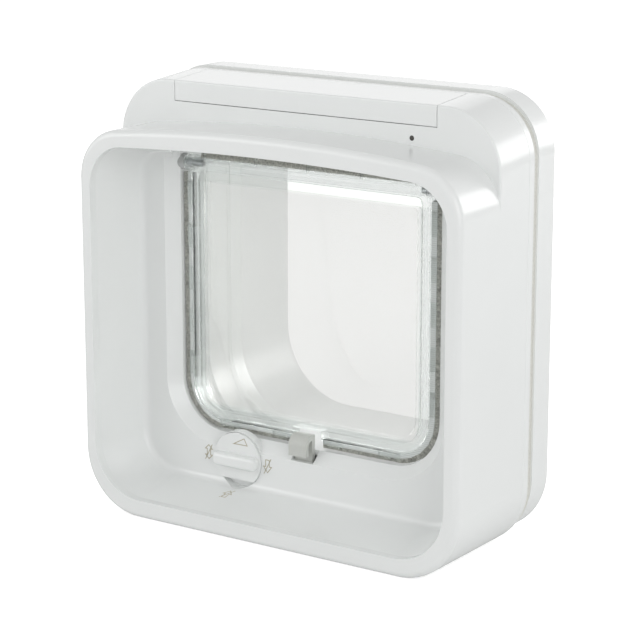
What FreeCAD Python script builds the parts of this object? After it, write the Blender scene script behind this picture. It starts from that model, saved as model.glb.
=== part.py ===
import FreeCAD, Part
import Sketcher

import math
import os

# A cat flap: an inner unit with a deep hood, a clear swinging flap, a tunnel through the door
# and an exterior frame. X runs to the right, Y away from the room side, Z up. The origin lies
# under the middle of the door face of the inner unit, at the level that the unit stands on.

SIZES = (
    ("unit_width", 210.0, "width of the inner unit and its hood"),
    ("unit_height", 210.2, "height of the inner unit at its back"),
    ("top_fall", 2.2, "how much the top falls towards the battery strip"),
    ("strip_foot", 90.0, "foot of the block behind the strip, inside the hood"),
    ("strip_rounding", 0.8, "rounding along the edge of the strip face"),
    ("unit_top_radius", 28.0, "upper corners of the inner unit"),
    ("unit_bottom_radius", 31.0, "lower corners of the inner unit and its hood"),
    ("strip_wall", 3.0, "wall of the battery strip"),
    ("bay_play", 1.2, "room round the cells in the depth of the battery bay"),
    ("crown_drop", 18.8, "top of the hood's arch below the top of the unit"),
    ("hood_arch_radius", 850.0, "arch of the hood top"),
    ("hood_top_radius", 24.0, "upper corners of the hood"),
    ("rim_rounding", 3.0, "outer rounding of the hood rim"),
    ("rim_side", 6.7, "rim width at the sides"),
    ("rim_top", 9.2, "rim width at the top"),
    ("rim_bottom", 9.0, "rim width at the bottom"),
    ("lip_arch_radius", 1300.0, "arch of the hood mouth"),
    ("lip_top_radius", 20.0, "upper corners of the hood mouth"),
    ("lip_bottom_radius", 26.0, "lower corners of the hood mouth"),
    ("lip_depth", 4.4, "straight band behind the rim"),
    ("hood_taper", 6.0, "how far each side of the hollow closes in towards the fascia"),
    ("fascia_depth", 31.7, "rim to fascia"),
    ("ledge_rounding", 3.6, "rounding between hood wall and fascia"),
    ("funnel_slope", 5.6, "depth and width of the funnel round the flap"),
    ("side_width", 31.8, "from the flap opening to the side of the unit"),
    ("opening_sill", 38.6, "height of the sill under the flap"),
    ("head_drop", 31.2, "head over the flap below the top of the unit"),
    ("opening_low_radius", 24.6, "lower corners of the flap opening"),
    ("opening_high_radius", 6.0, "upper corners of the flap opening"),
    ("wall", 2.5, "wall of the mouldings"),
    ("fascia_wall", 4.3, "thickness of the fascia"),
    ("back_depth", 4.4, "depth of the rear housing's rim"),
    ("back_recess", 2.2, "hollow in the front of the rear housing"),
    ("seam_chamfer", 0.35, "bevel along the parting lines"),
    ("tunnel_reach", 63.0, "tunnel beyond the door face"),
    ("tunnel_drop", 5.6, "tunnel floor below the sill"),
    ("tunnel_low_radius", 34.0, "lower corners of the tunnel near the flap"),
    ("tunnel_end_radius", 38.0, "lower corners of the tunnel beyond its step"),
    ("tunnel_step_at", 14.0, "place of the step behind the door face"),
    ("tunnel_step", 0.6, "height of the step in the tunnel sides"),
    ("door_gap", 4.0, "space between the inner unit and the exterior frame"),
    ("frame_rise", 1.1, "exterior frame above the top of the unit"),
    ("frame_lift", 1.7, "exterior frame above the underside of the unit"),
    ("frame_depth", 15.4, "depth of the exterior frame"),
    ("frame_top_radius", 28.0, "upper corners of the exterior frame"),
    ("frame_bottom_radius", 32.0, "lower corners of the exterior frame"),
    ("frame_rounding", 1.5, "outer rounding of the exterior frame"),
    ("tunnel_clearance", 0.5, "exterior frame round the tunnel"),
    ("seal_inset", 0.8, "weather seal inside the unit's outline"),
    ("seal_width", 8.0, "width of the weather seal"),
    ("cover_inset", 32.7, "battery cover from the sides of the unit"),
    ("cover_apron", 9.5, "height of the battery cover"),
    ("cover_wall", 1.8, "wall of the battery cover"),
    ("cover_gap", 0.35, "seam round the battery cover"),
    ("cover_foot_width", 10.0, "feet that the battery cover rests on"),
    ("hinge_drop", 10.8, "flap's hinge axis below the head"),
    ("hinge_bar_radius", 3.0, "round bar at the top of the flap"),
    ("knuckle_radius", 4.0, "round knuckles at the ends of the bar"),
    ("knuckle_length", 5.0, "length of a knuckle"),
    ("pin_radius", 1.5, "hinge pins"),
    ("pin_grip", 9.0, "length of a hinge pin inside the flap"),
    ("running_fit", 0.06, "radial clearance of a pin or plunger"),
    ("end_float", 0.4, "sideways play of the flap between its bushes"),
    ("panel_gap", 6.4, "space at each side of the panel, for the pile"),
    ("panel_lift", 5.2, "lower edge of the panel above the sill"),
    ("panel_radius", 18.0, "lower corners of the panel"),
    ("panel_plate", 3.0, "thickness of the panel"),
    ("bead_height", 6.0, "thickness of the bead round the panel"),
    ("bead_width", 4.4, "width of the bead"),
    ("groove_width", 2.6, "groove between bead and window"),
    ("window_rise", 0.9, "how far the window stands proud of the plate"),
    ("window_drop", 8.2, "upper edge of the window below the hinge axis"),
    ("notch_width", 16.5, "latch notch in the flap"),
    ("notch_height", 3.8, "height of the notch for the latch"),
    ("pile_gap", 0.5, "space between the pile and the opening"),
    ("pile_lift", 0.8, "lower edge of the pile above the sill"),
    ("pile_drop", 4.5, "end of the side pile below the hinge axis"),
    ("pile_thickness", 3.0, "pile strip, front to back"),
    ("tab_width", 2.8, "how far a tab reaches over the pile"),
    ("tab_length", 11.3, "length of a tab"),
    ("tab_drop", 14.3, "middle of the highest side tab below the hinge axis"),
    ("tab_count", 5, "tabs on each side of the flap"),
    ("tab_rise", 26.5, "middle of the lowest side tab above the foot of the panel"),
    ("tab_skin", 0.8, "thickness of a tab"),
    ("low_tab_near", 14.6, "middle of the inner bottom tab from the centre line"),
    ("low_tab_inset", 21.2, "middle of the outer bottom tab from the side of the panel"),
    ("top_pile_inset", 4.8, "ends of the top pile from the sides of the panel"),
    ("rib_inset", 7.6, "outer ribs that hold the top pile, from the sides of the panel"),
    ("rib_width", 1.4, "width of such a rib"),
    ("dial_across", -36.0, "middle of the lock dial, sideways"),
    ("dial_drop", 10.7, "middle of the lock dial below the sill"),
    ("dial_radius", 13.5, "lock dial"),
    ("dial_gap", 0.2, "space round the lock dial"),
    ("dial_boss_wall", 0.4, "thin wall round the dial's recess"),
    ("dial_sink", 3.0, "depth of the dial's recess"),
    ("dial_proud", 1.2, "dial face ahead of the fascia"),
    ("dial_flat", 9.6, "flat under the dial, from its middle"),
    ("grip_length", 25.0, "grip across the dial"),
    ("grip_width", 6.6, "width of the grip"),
    ("grip_height", 4.2, "height of the grip"),
    ("grip_rounding", 2.2, "rounding at the ends of the grip"),
    ("grip_crest", 2.0, "rounding along the top of the grip"),
    ("spindle_radius", 3.9, "dial spindle"),
    ("cam_radius", 7.6, "detent cam behind the fascia"),
    ("cam_thickness", 2.5, "thickness of the detent cam"),
    ("detent_radius", 1.6, "notches in the detent cam"),
    ("latch_width", 10.0, "latch tongue"),
    ("latch_drop", 1.6, "tip of the tongue below the top of its notch"),
    ("nose_drop", 2.4, "tongue's lower front edge below the sill"),
    ("latch_nose_reach", 2.3, "tongue ahead of the fascia"),
    ("latch_thickness", 2.3, "thickness of the latch arm"),
    ("latch_clearance", 0.5, "tongue to flap"),
    ("latch_slot_gap", 0.4, "slot beside the tongue"),
    ("latch_slot_wide", 2.0, "extra width of the slot on the right"),
    ("latch_foot_drop", 15.6, "latch's foot below the sill"),
    ("latch_foot_thickness", 2.5, "thickness of the foot"),
    ("latch_foot_reach", 3.5, "foot beyond the middle of the plunger"),
    ("plunger_reach", 10.2, "middle of the plunger behind the latch arm"),
    ("coil_body_width", 16.0, "latch solenoid"),
    ("coil_body_height", 14.5, "height of the solenoid"),
    ("coil_body_depth", 14.0, "depth of the solenoid"),
    ("yoke_wall", 1.5, "steel yoke of the solenoid"),
    ("winding_radius", 5.4, "winding of the solenoid"),
    ("plunger_radius", 2.5, "solenoid plunger"),
    ("plunger_sink", 9.0, "plunger inside the solenoid at rest"),
    ("cell_radius", 5.25, "battery cell"),
    ("cell_length", 44.5, "length of a battery cell"),
    ("cell_nub_radius", 1.9, "positive tip of a cell"),
    ("cell_start", 11.4, "inner end of a cell from the centre line"),
    ("cell_drop", 18.0, "axes of the cells below the top of the unit"),
    ("cell_pitch", 10.9, "distance between the two rows of cells"),
    ("tray_end", 0.8, "battery tray beyond its contacts"),
    ("tray_under", 7.1, "underside of the battery tray below the cells' axes"),
    ("tray_lip", 0.6, "top of the battery tray below the cells' axes"),
    ("tray_clearance", 0.1, "cell to its cradle"),
    ("tray_gap", 0.2, "tray to the walls in front and behind"),
    ("tray_rib_inset", 11.2, "ribs under the battery tray from its ends"),
    ("tray_rib_width", 2.3, "width of such a rib"),
    ("tray_rib_depth", 7.5, "depth of such a rib"),
    ("contact_thickness", 0.5, "battery contacts"),
    ("contact_width", 3.8, "width of a contact"),
    ("contact_height", 5.7, "height of a contact"),
    ("button_radius", 3.5, "learn button"),
    ("button_drop", 13.2, "top of the learn button below the top of the unit"),
    ("button_height", 7.0, "height of the learn button"),
    ("button_travel", 1.0, "travel of the learn button"),
    ("button_guide", 1.6, "wall of the button's guide"),
    ("switch_gap", 0.3, "space under the pressed button"),
    ("switch_height", 1.7, "switch under the learn button"),
    ("lens_gap", 2.4, "status light beyond the battery tray"),
    ("lens_drop", 17.8, "status light below the top of the unit"),
    ("lens_radius", 1.2, "status light guide"),
    ("lens_collar", 2.0, "collar of the light guide"),
    ("lens_length", 5.0, "length of the light guide"),
    ("lamp_radius", 1.5, "lamp behind the light guide"),
    ("lamp_height", 1.4, "height of the lamp"),
    ("lamp_gap", 0.2, "light guide to lamp"),
    ("coil_gap", 0.3, "antenna coil to the collar round the opening"),
    ("coil_thickness", 3.0, "antenna coil"),
    ("coil_width", 8.0, "width of the antenna coil"),
    ("coil_back", 7.0, "antenna coil ahead of the door face"),
    ("board_thickness", 1.6, "circuit boards"),
    ("post_radius", 2.0, "posts that carry the circuit boards"),
    ("indicator_width", 20.0, "indicator board"),
    ("indicator_height", 9.6, "height of the indicator board"),
    ("indicator_gap", 0.4, "indicator board above the upper screw bosses"),
    ("control_width", 20.0, "control board"),
    ("control_gap", 10.0, "ends of the control board from the joining screws"),
    ("control_back", 13.0, "back of the control board ahead of the door face"),
    ("post_inset", 8.0, "posts from the ends of a board"),
    ("chip_side", 8.0, "chip on the control board"),
    ("socket_width", 10.0, "plug socket on the control board"),
    ("socket_height", 4.0, "height of the plug socket"),
    ("socket_depth", 4.8, "depth of the plug socket"),
    ("socket_drop", 24.0, "foot of the plug socket below the upper edge of the board"),
    ("capacitor_radius", 3.6, "capacitor on the control board"),
    ("capacitor_height", 6.4, "height of the capacitor"),
    ("capacitor_rise", 22.2, "capacitor above the lower edge of the board"),
    ("fixing_inset", 19.0, "fixing screws from the sides of the unit"),
    ("fixing_low", 27.0, "height of the lower fixing screws"),
    ("fixing_drop", 27.2, "upper fixing screws below the top of the unit"),
    ("fixing_radius", 2.0, "fixing screws"),
    ("fixing_head_radius", 3.9, "heads of the fixing screws"),
    ("fixing_head_height", 2.6, "height of those heads"),
    ("fixing_sink", 5.0, "depth of the screw wells in the exterior frame"),
    ("fixing_reach", 14.0, "fixing screws ahead of the door face"),
    ("well_radius", 4.6, "screw wells"),
    ("boss_wall", 2.4, "wall of the screw bosses"),
    ("cap_thickness", 1.2, "caps over the screw wells"),
    ("joint_screw_inset", 14.0, "joining screws from the sides of the unit"),
    ("joint_screw_low", 58.0, "height of the lower joining screws"),
    ("joint_screw_drop", 58.2, "upper joining screws below the top of the unit"),
    ("joint_screw_radius", 1.3, "joining screws"),
    ("joint_head_radius", 2.8, "heads of the joining screws"),
    ("joint_head_height", 1.6, "height of those heads"),
    ("joint_screw_length", 12.0, "joining screws ahead of the rear housing"),
)

doc = FreeCAD.newDocument("cat_flap")
sheet = doc.addObject("Spreadsheet::Sheet", "sizes")
for row, (alias, number, meaning) in enumerate(SIZES, start=1):
    sheet.set(f"A{row}", meaning)
    sheet.set(f"B{row}", str(number))
    sheet.setAlias(f"B{row}", alias)
doc.recompute()


class Length:
    """A size with the words that work it out from the sheet."""

    def __init__(self, value, text):
        self.value = value
        self.text = text

    def __add__(self, other):
        other = length(other)
        return Length(self.value + other.value, f"({self.text} + {other.text})")

    def __sub__(self, other):
        other = length(other)
        return Length(self.value - other.value, f"({self.text} - {other.text})")

    def __mul__(self, factor):
        factor = length(factor)
        return Length(self.value * factor.value, f"({self.text} * {factor.text})")

    def __truediv__(self, factor):
        factor = length(factor)
        return Length(self.value / factor.value, f"({self.text} / {factor.text})")

    def __neg__(self):
        return Length(-self.value, f"(0 - {self.text})")


def length(thing):
    if isinstance(thing, Length):
        return thing
    return Length(float(thing), repr(float(thing)))


def size(alias):
    return Length(float(sheet.get(alias)), f"sizes.{alias}")


def bind(item, prop, amount):
    item.setExpression(prop, length(amount).text)


def new_body(label):
    body = doc.addObject("PartDesign::Body", label)
    body.Label = label
    return body


def origin_plane(body, role):
    for feature in body.Origin.OriginFeatures:
        if feature.Role == role:
            return feature
    raise RuntimeError(f"{body.Label} has no {role}")


SIDE = {"XZ_Plane": -1, "YZ_Plane": 1, "XY_Plane": 1}


def sketch_at(body, name, role, place):
    """A sketch across the axis that is normal to the plane, at a place along that axis."""
    sketch = body.newObject("Sketcher::SketchObject", name)
    sketch.AttachmentSupport = [(origin_plane(body, role), "")]
    sketch.MapMode = "FlatFace"
    bind(sketch, "AttachmentOffset.Base.z", length(place) * SIDE[role])
    return sketch


def constrain(sketch, kind, *terms, amount=None):
    if amount is None:
        sketch.addConstraint(Sketcher.Constraint(kind, *terms))
        return
    index = sketch.addConstraint(Sketcher.Constraint(kind, *terms, amount.value))
    bind(sketch, f"Constraints[{index}]", amount)


ORIGIN = (-1, 1)
START = 1
END = START + 1
CENTRE = END + 1


def vector(x, y):
    return FreeCAD.Vector(x, y, 0)


def line(sketch, start, end):
    return sketch.addGeometry(Part.LineSegment(vector(*start), vector(*end)), False)


def arc(sketch, centre, radius, first, last):
    circle = Part.Circle(vector(*centre), FreeCAD.Vector(0, 0, 1), radius)
    return sketch.addGeometry(Part.ArcOfCircle(circle, math.radians(first), math.radians(last)), False)


def outline(sketch, half, foot, head, low_radius, high_radius):
    """An upright rectangle about the vertical axis with rounded corners."""
    half, foot, head = length(half), length(foot), length(head)
    low, high = length(low_radius), length(high_radius)
    w, b, t, p, q = half.value, foot.value, head.value, low.value, high.value
    base = line(sketch, (-w + p, b), (w - p, b))
    right_low = arc(sketch, (w - p, b + p), p, 270, 360)
    right = line(sketch, (w, b + p), (w, t - q))
    right_high = arc(sketch, (w - q, t - q), q, 0, 90)
    top = line(sketch, (w - q, t), (-w + q, t))
    left_high = arc(sketch, (-w + q, t - q), q, 90, 180)
    left = line(sketch, (-w, t - q), (-w, b + p))
    left_low = arc(sketch, (-w + p, b + p), p, 180, 270)
    ring = (base, right_low, right, right_high, top, left_high, left, left_low)
    for first, second in zip(ring, ring[1:] + ring[:1]):
        constrain(sketch, "Tangent", first, END, second, START)
    constrain(sketch, "Horizontal", base)
    constrain(sketch, "Horizontal", top)
    constrain(sketch, "Equal", right_low, left_low)
    constrain(sketch, "Equal", right_high, left_high)
    constrain(sketch, "DistanceX", *ORIGIN, right, START, amount=half)
    constrain(sketch, "DistanceX", left, START, *ORIGIN, amount=half)
    constrain(sketch, "DistanceY", *ORIGIN, base, START, amount=foot)
    constrain(sketch, "DistanceY", *ORIGIN, top, START, amount=head)
    constrain(sketch, "Radius", right_low, amount=low)
    constrain(sketch, "Radius", right_high, amount=high)


def arched_outline(sketch, half, foot, crown, low_radius, high_radius, arch_radius):
    """The same with a top that rises as an arch to its crown."""
    half, foot, crown = length(half), length(foot), length(crown)
    low, high, arch = length(low_radius), length(high_radius), length(arch_radius)
    w, b, c, p, q, a = (item.value for item in (half, foot, crown, low, high, arch))
    centre_height = c - a
    corner_across = w - q
    corner_height = centre_height + math.sqrt((a - q) ** 2 - corner_across ** 2)
    lean = math.degrees(math.asin(corner_across / (a - q)))
    base = line(sketch, (-w + p, b), (w - p, b))
    right_low = arc(sketch, (w - p, b + p), p, 270, 360)
    right = line(sketch, (w, b + p), (w, corner_height))
    right_high = arc(sketch, (corner_across, corner_height), q, 0, 90 - lean)
    top = arc(sketch, (0, centre_height), a, 90 - lean, 90 + lean)
    left_high = arc(sketch, (-corner_across, corner_height), q, 90 + lean, 180)
    left = line(sketch, (-w, corner_height), (-w, b + p))
    left_low = arc(sketch, (-w + p, b + p), p, 180, 270)
    ring = (base, right_low, right, right_high, top, left_high, left, left_low)
    for first, second in zip(ring, ring[1:] + ring[:1]):
        constrain(sketch, "Tangent", first, END, second, START)
    constrain(sketch, "Horizontal", base)
    constrain(sketch, "Vertical", right)
    constrain(sketch, "Equal", right_low, left_low)
    constrain(sketch, "Equal", right_high, left_high)
    constrain(sketch, "DistanceX", *ORIGIN, right, START, amount=half)
    constrain(sketch, "DistanceX", left, START, *ORIGIN, amount=half)
    constrain(sketch, "DistanceY", *ORIGIN, base, START, amount=foot)
    constrain(sketch, "DistanceY", *ORIGIN, top, CENTRE, amount=crown - arch)
    constrain(sketch, "Radius", right_low, amount=low)
    constrain(sketch, "Radius", right_high, amount=high)
    constrain(sketch, "Radius", top, amount=arch)


def rectangle(sketch, left, right, foot, head):
    left, right, foot, head = length(left), length(right), length(foot), length(head)
    base = line(sketch, (left.value, foot.value), (right.value, foot.value))
    side = line(sketch, (right.value, foot.value), (right.value, head.value))
    top = line(sketch, (right.value, head.value), (left.value, head.value))
    back = line(sketch, (left.value, head.value), (left.value, foot.value))
    ring = (base, side, top, back)
    for first, second in zip(ring, ring[1:] + ring[:1]):
        constrain(sketch, "Coincident", first, END, second, START)
    for flat in (base, top):
        constrain(sketch, "Horizontal", flat)
    for upright in (side, back):
        constrain(sketch, "Vertical", upright)
    constrain(sketch, "DistanceX", *ORIGIN, base, START, amount=left)
    constrain(sketch, "DistanceX", *ORIGIN, base, END, amount=right)
    constrain(sketch, "DistanceY", *ORIGIN, base, START, amount=foot)
    constrain(sketch, "DistanceY", *ORIGIN, side, END, amount=head)


def circle(sketch, across, height, radius):
    across, height, radius = length(across), length(height), length(radius)
    ring = Part.Circle(vector(across.value, height.value), FreeCAD.Vector(0, 0, 1), radius.value)
    index = sketch.addGeometry(ring, False)
    constrain(sketch, "DistanceX", *ORIGIN, index, CENTRE, amount=across)
    constrain(sketch, "DistanceY", *ORIGIN, index, CENTRE, amount=height)
    constrain(sketch, "Radius", index, amount=radius)


def extrude(kind, body, name, sketch, depth, reversed_way, middle=False):
    feature = body.newObject(kind, name)
    feature.Profile = sketch
    feature.Type = "Length"
    feature.Reversed = reversed_way
    if middle:
        feature.SideType = "Symmetric"
    bind(feature, "Length", depth)
    body.Tip = feature
    return feature


def pad(body, name, sketch, depth, reversed_way=False, middle=False):
    return extrude("PartDesign::Pad", body, name, sketch, depth, reversed_way, middle)


def pocket(body, name, sketch, depth, reversed_way=False, middle=False):
    return extrude("PartDesign::Pocket", body, name, sketch, depth, reversed_way, middle)


def back_pad(body, name, sketch, depth):
    """Material from a sketch across Y, towards the door."""
    return pad(body, name, sketch, depth, reversed_way=True)


def leaning_pad(body, name, sketch, depth):
    """Material towards the door that climbs from the strip to the full height of the unit."""
    feature = pad(body, name, sketch, depth)
    feature.UseCustomVector = True
    feature.AlongSketchNormal = True
    feature.Direction = (0, depth.value, size("top_fall").value)
    bind(feature, "Direction.y", depth)
    bind(feature, "Direction.z", size("top_fall"))
    return feature


def back_pocket(body, name, sketch, depth):
    """A cut from a sketch across Y, towards the door."""
    return pocket(body, name, sketch, depth)


def front_pocket(body, name, sketch, depth):
    """A cut from a sketch across Y, towards the room."""
    return pocket(body, name, sketch, depth, reversed_way=True)


def loft(kind, body, name, first, second):
    feature = body.newObject(kind, name)
    feature.Profile = first
    feature.Sections = [second]
    feature.Ruled = True
    body.Tip = feature
    return feature


def edges_where(feature, test):
    doc.recompute()
    names = []
    for index, edge in enumerate(feature.Shape.Edges, start=1):
        box = edge.BoundBox
        if test(edge, box):
            names.append(f"Edge{index}")
    if not names:
        raise RuntimeError(f"{feature.Name} has no such edges")
    return names


def in_plane(box, y, slack=0.01):
    return abs(box.YMin - y) < slack and abs(box.YMax - y) < slack


def dress(kind, body, name, base, names, prop, amount):
    feature = body.newObject(kind, name)
    feature.Base = (base, names)
    bind(feature, prop, amount)
    body.Tip = feature
    return feature


def fillet(body, name, base, names, radius):
    return dress("PartDesign::Fillet", body, name, base, names, "Radius", radius)


def chamfer(body, name, base, names, amount):
    return dress("PartDesign::Chamfer", body, name, base, names, "Size", amount)


def box(name, x, y, z, wide, deep, tall):
    item = doc.addObject("Part::Box", name)
    bind(item, "Length", wide)
    bind(item, "Width", deep)
    bind(item, "Height", tall)
    for axis, amount in zip("xyz", (x, y, z)):
        bind(item, f"Placement.Base.{axis}", amount)
    return item


TURNS = {
    "x": FreeCAD.Rotation(FreeCAD.Vector(0, 1, 0), 90),
    "y": FreeCAD.Rotation(FreeCAD.Vector(1, 0, 0), -90),
    "z": FreeCAD.Rotation(),
}


def cylinder(name, axis, x, y, z, radius, tall):
    """A cylinder that grows from its place along the positive axis."""
    item = doc.addObject("Part::Cylinder", name)
    item.Placement = FreeCAD.Placement(FreeCAD.Vector(), TURNS[axis])
    bind(item, "Radius", radius)
    bind(item, "Height", tall)
    for letter, amount in zip("xyz", (x, y, z)):
        bind(item, f"Placement.Base.{letter}", amount)
    return item


def fuse(name, items):
    item = doc.addObject("Part::MultiFuse", name)
    item.Shapes = items
    return item


def cut(name, base, tools):
    item = doc.addObject("Part::Cut", name)
    item.Base = base
    item.Tool = tools if not isinstance(tools, list) else fuse(f"{name}_tools", tools)
    return item


def group(name, items):
    item = doc.addObject("Part::Compound", name)
    item.Links = items
    return item


nodes = {}


def keep(item, label):
    item.Label = label
    nodes[label] = item


# Planes along Y, from the room to the outside
parting_plane = -size("back_depth")
hollow_front = parting_plane - size("cell_pitch") - size("cell_radius") * 2 - size("bay_play")
strip_plane = hollow_front - size("strip_wall")
fascia_plane = hollow_front - size("fascia_wall")
rim_plane = fascia_plane - size("fascia_depth")
flap_front = fascia_plane + size("funnel_slope")
frame_front = size("door_gap")
frame_back = frame_front + size("frame_depth")
hinge_plane = flap_front + size("bead_height") / 2

# Heights that hang from the top of the unit, and those that stand on the sill
opening_head = size("unit_height") - size("head_drop")
hood_crown = size("unit_height") - size("crown_drop")
hinge_height = opening_head - size("hinge_drop")
window_head = hinge_height - size("window_drop")
pile_head = hinge_height - size("pile_drop")
top_pile_head = opening_head - size("pile_gap")
cell_height = size("unit_height") - size("cell_drop")
tray_foot = cell_height - size("tray_under")
tray_top = cell_height - size("tray_lip")
button_top = size("unit_height") - size("button_drop")
lens_height = size("unit_height") - size("lens_drop")
fixing_high = size("unit_height") - size("fixing_drop")
indicator_foot = fixing_high + size("fixing_radius") + size("boss_wall") + size("indicator_gap")
joint_screw_high = size("unit_height") - size("joint_screw_drop")
panel_foot = size("opening_sill") + size("panel_lift")
pile_foot = size("opening_sill") + size("pile_lift")
notch_top = panel_foot + size("notch_height")
tunnel_sill = size("opening_sill") - size("tunnel_drop")
dial_height = size("opening_sill") - size("dial_drop")
latch_top = notch_top - size("latch_drop")
latch_nose_foot = size("opening_sill") - size("nose_drop")
latch_foot_height = size("opening_sill") - size("latch_foot_drop")
tab_first = panel_foot + size("tab_rise")
tab_pitch = (hinge_height - size("tab_drop") - tab_first) / (size("tab_count") - 1)

# Places across, from the sides of the unit inwards
unit_half = size("unit_width") / 2
opening_half = unit_half - size("side_width")
panel_half = opening_half - size("panel_gap")
top_pile_half = panel_half - size("top_pile_inset")
rib_pitch = (panel_half - size("rib_inset")) / 2
low_tab_far = panel_half - size("low_tab_inset")
cover_half = unit_half - size("cover_inset")
fixing_across = unit_half - size("fixing_inset")
joint_screw_across = unit_half - size("joint_screw_inset")
cell_end = size("cell_start") + size("cell_length")
tray_half = cell_end + size("contact_thickness") + size("tray_end")
tray_rib_at = tray_half - size("tray_rib_inset")
lens_across = tray_half + size("lens_gap")

strip_head = size("unit_height") - size("top_fall")
strip_depth = parting_plane - strip_plane
collar_half = opening_half + size("wall")
collar_foot = size("opening_sill") - size("wall")
collar_head = opening_head + size("wall")
collar_low_radius = size("opening_low_radius") + size("wall")
collar_high_radius = size("opening_high_radius") + size("wall")
pile_half = opening_half - size("pile_gap")
dial_recess = size("dial_radius") + size("dial_gap")
board_front = strip_plane + size("lens_length") + size("lamp_gap") + size("lamp_height")
indicator_left = lens_across - size("lamp_radius") - size("lamp_gap")
control_left = collar_half + size("coil_gap") + size("coil_thickness") + size("boss_wall") / 2
control_front = -size("control_back") - size("board_thickness")
control_foot = size("joint_screw_low") + size("control_gap")
control_head = joint_screw_high - size("control_gap")
fixing_places = [
    (fixing_across * side, height)
    for height in (size("fixing_low"), fixing_high)
    for side in (-1, 1)
]
joint_places = [
    (joint_screw_across * side, height)
    for height in (size("joint_screw_low"), joint_screw_high)
    for side in (-1, 1)
]


def unit_outline(sketch, inset=0, fall=0):
    outline(
        sketch,
        unit_half - inset,
        length(inset),
        size("unit_height") - inset - fall,
        size("unit_bottom_radius") - inset,
        size("unit_top_radius") - inset,
    )


def opening_outline(sketch, grow=0, head=None):
    outline(
        sketch,
        opening_half + grow,
        size("opening_sill") - grow,
        opening_head if head is None else head,
        size("opening_low_radius") + grow,
        size("opening_high_radius"),
    )


def collar_outline(sketch, grow=0):
    outline(
        sketch,
        collar_half + grow,
        collar_foot - grow,
        collar_head + grow,
        collar_low_radius + grow,
        collar_high_radius + grow,
    )


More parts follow.
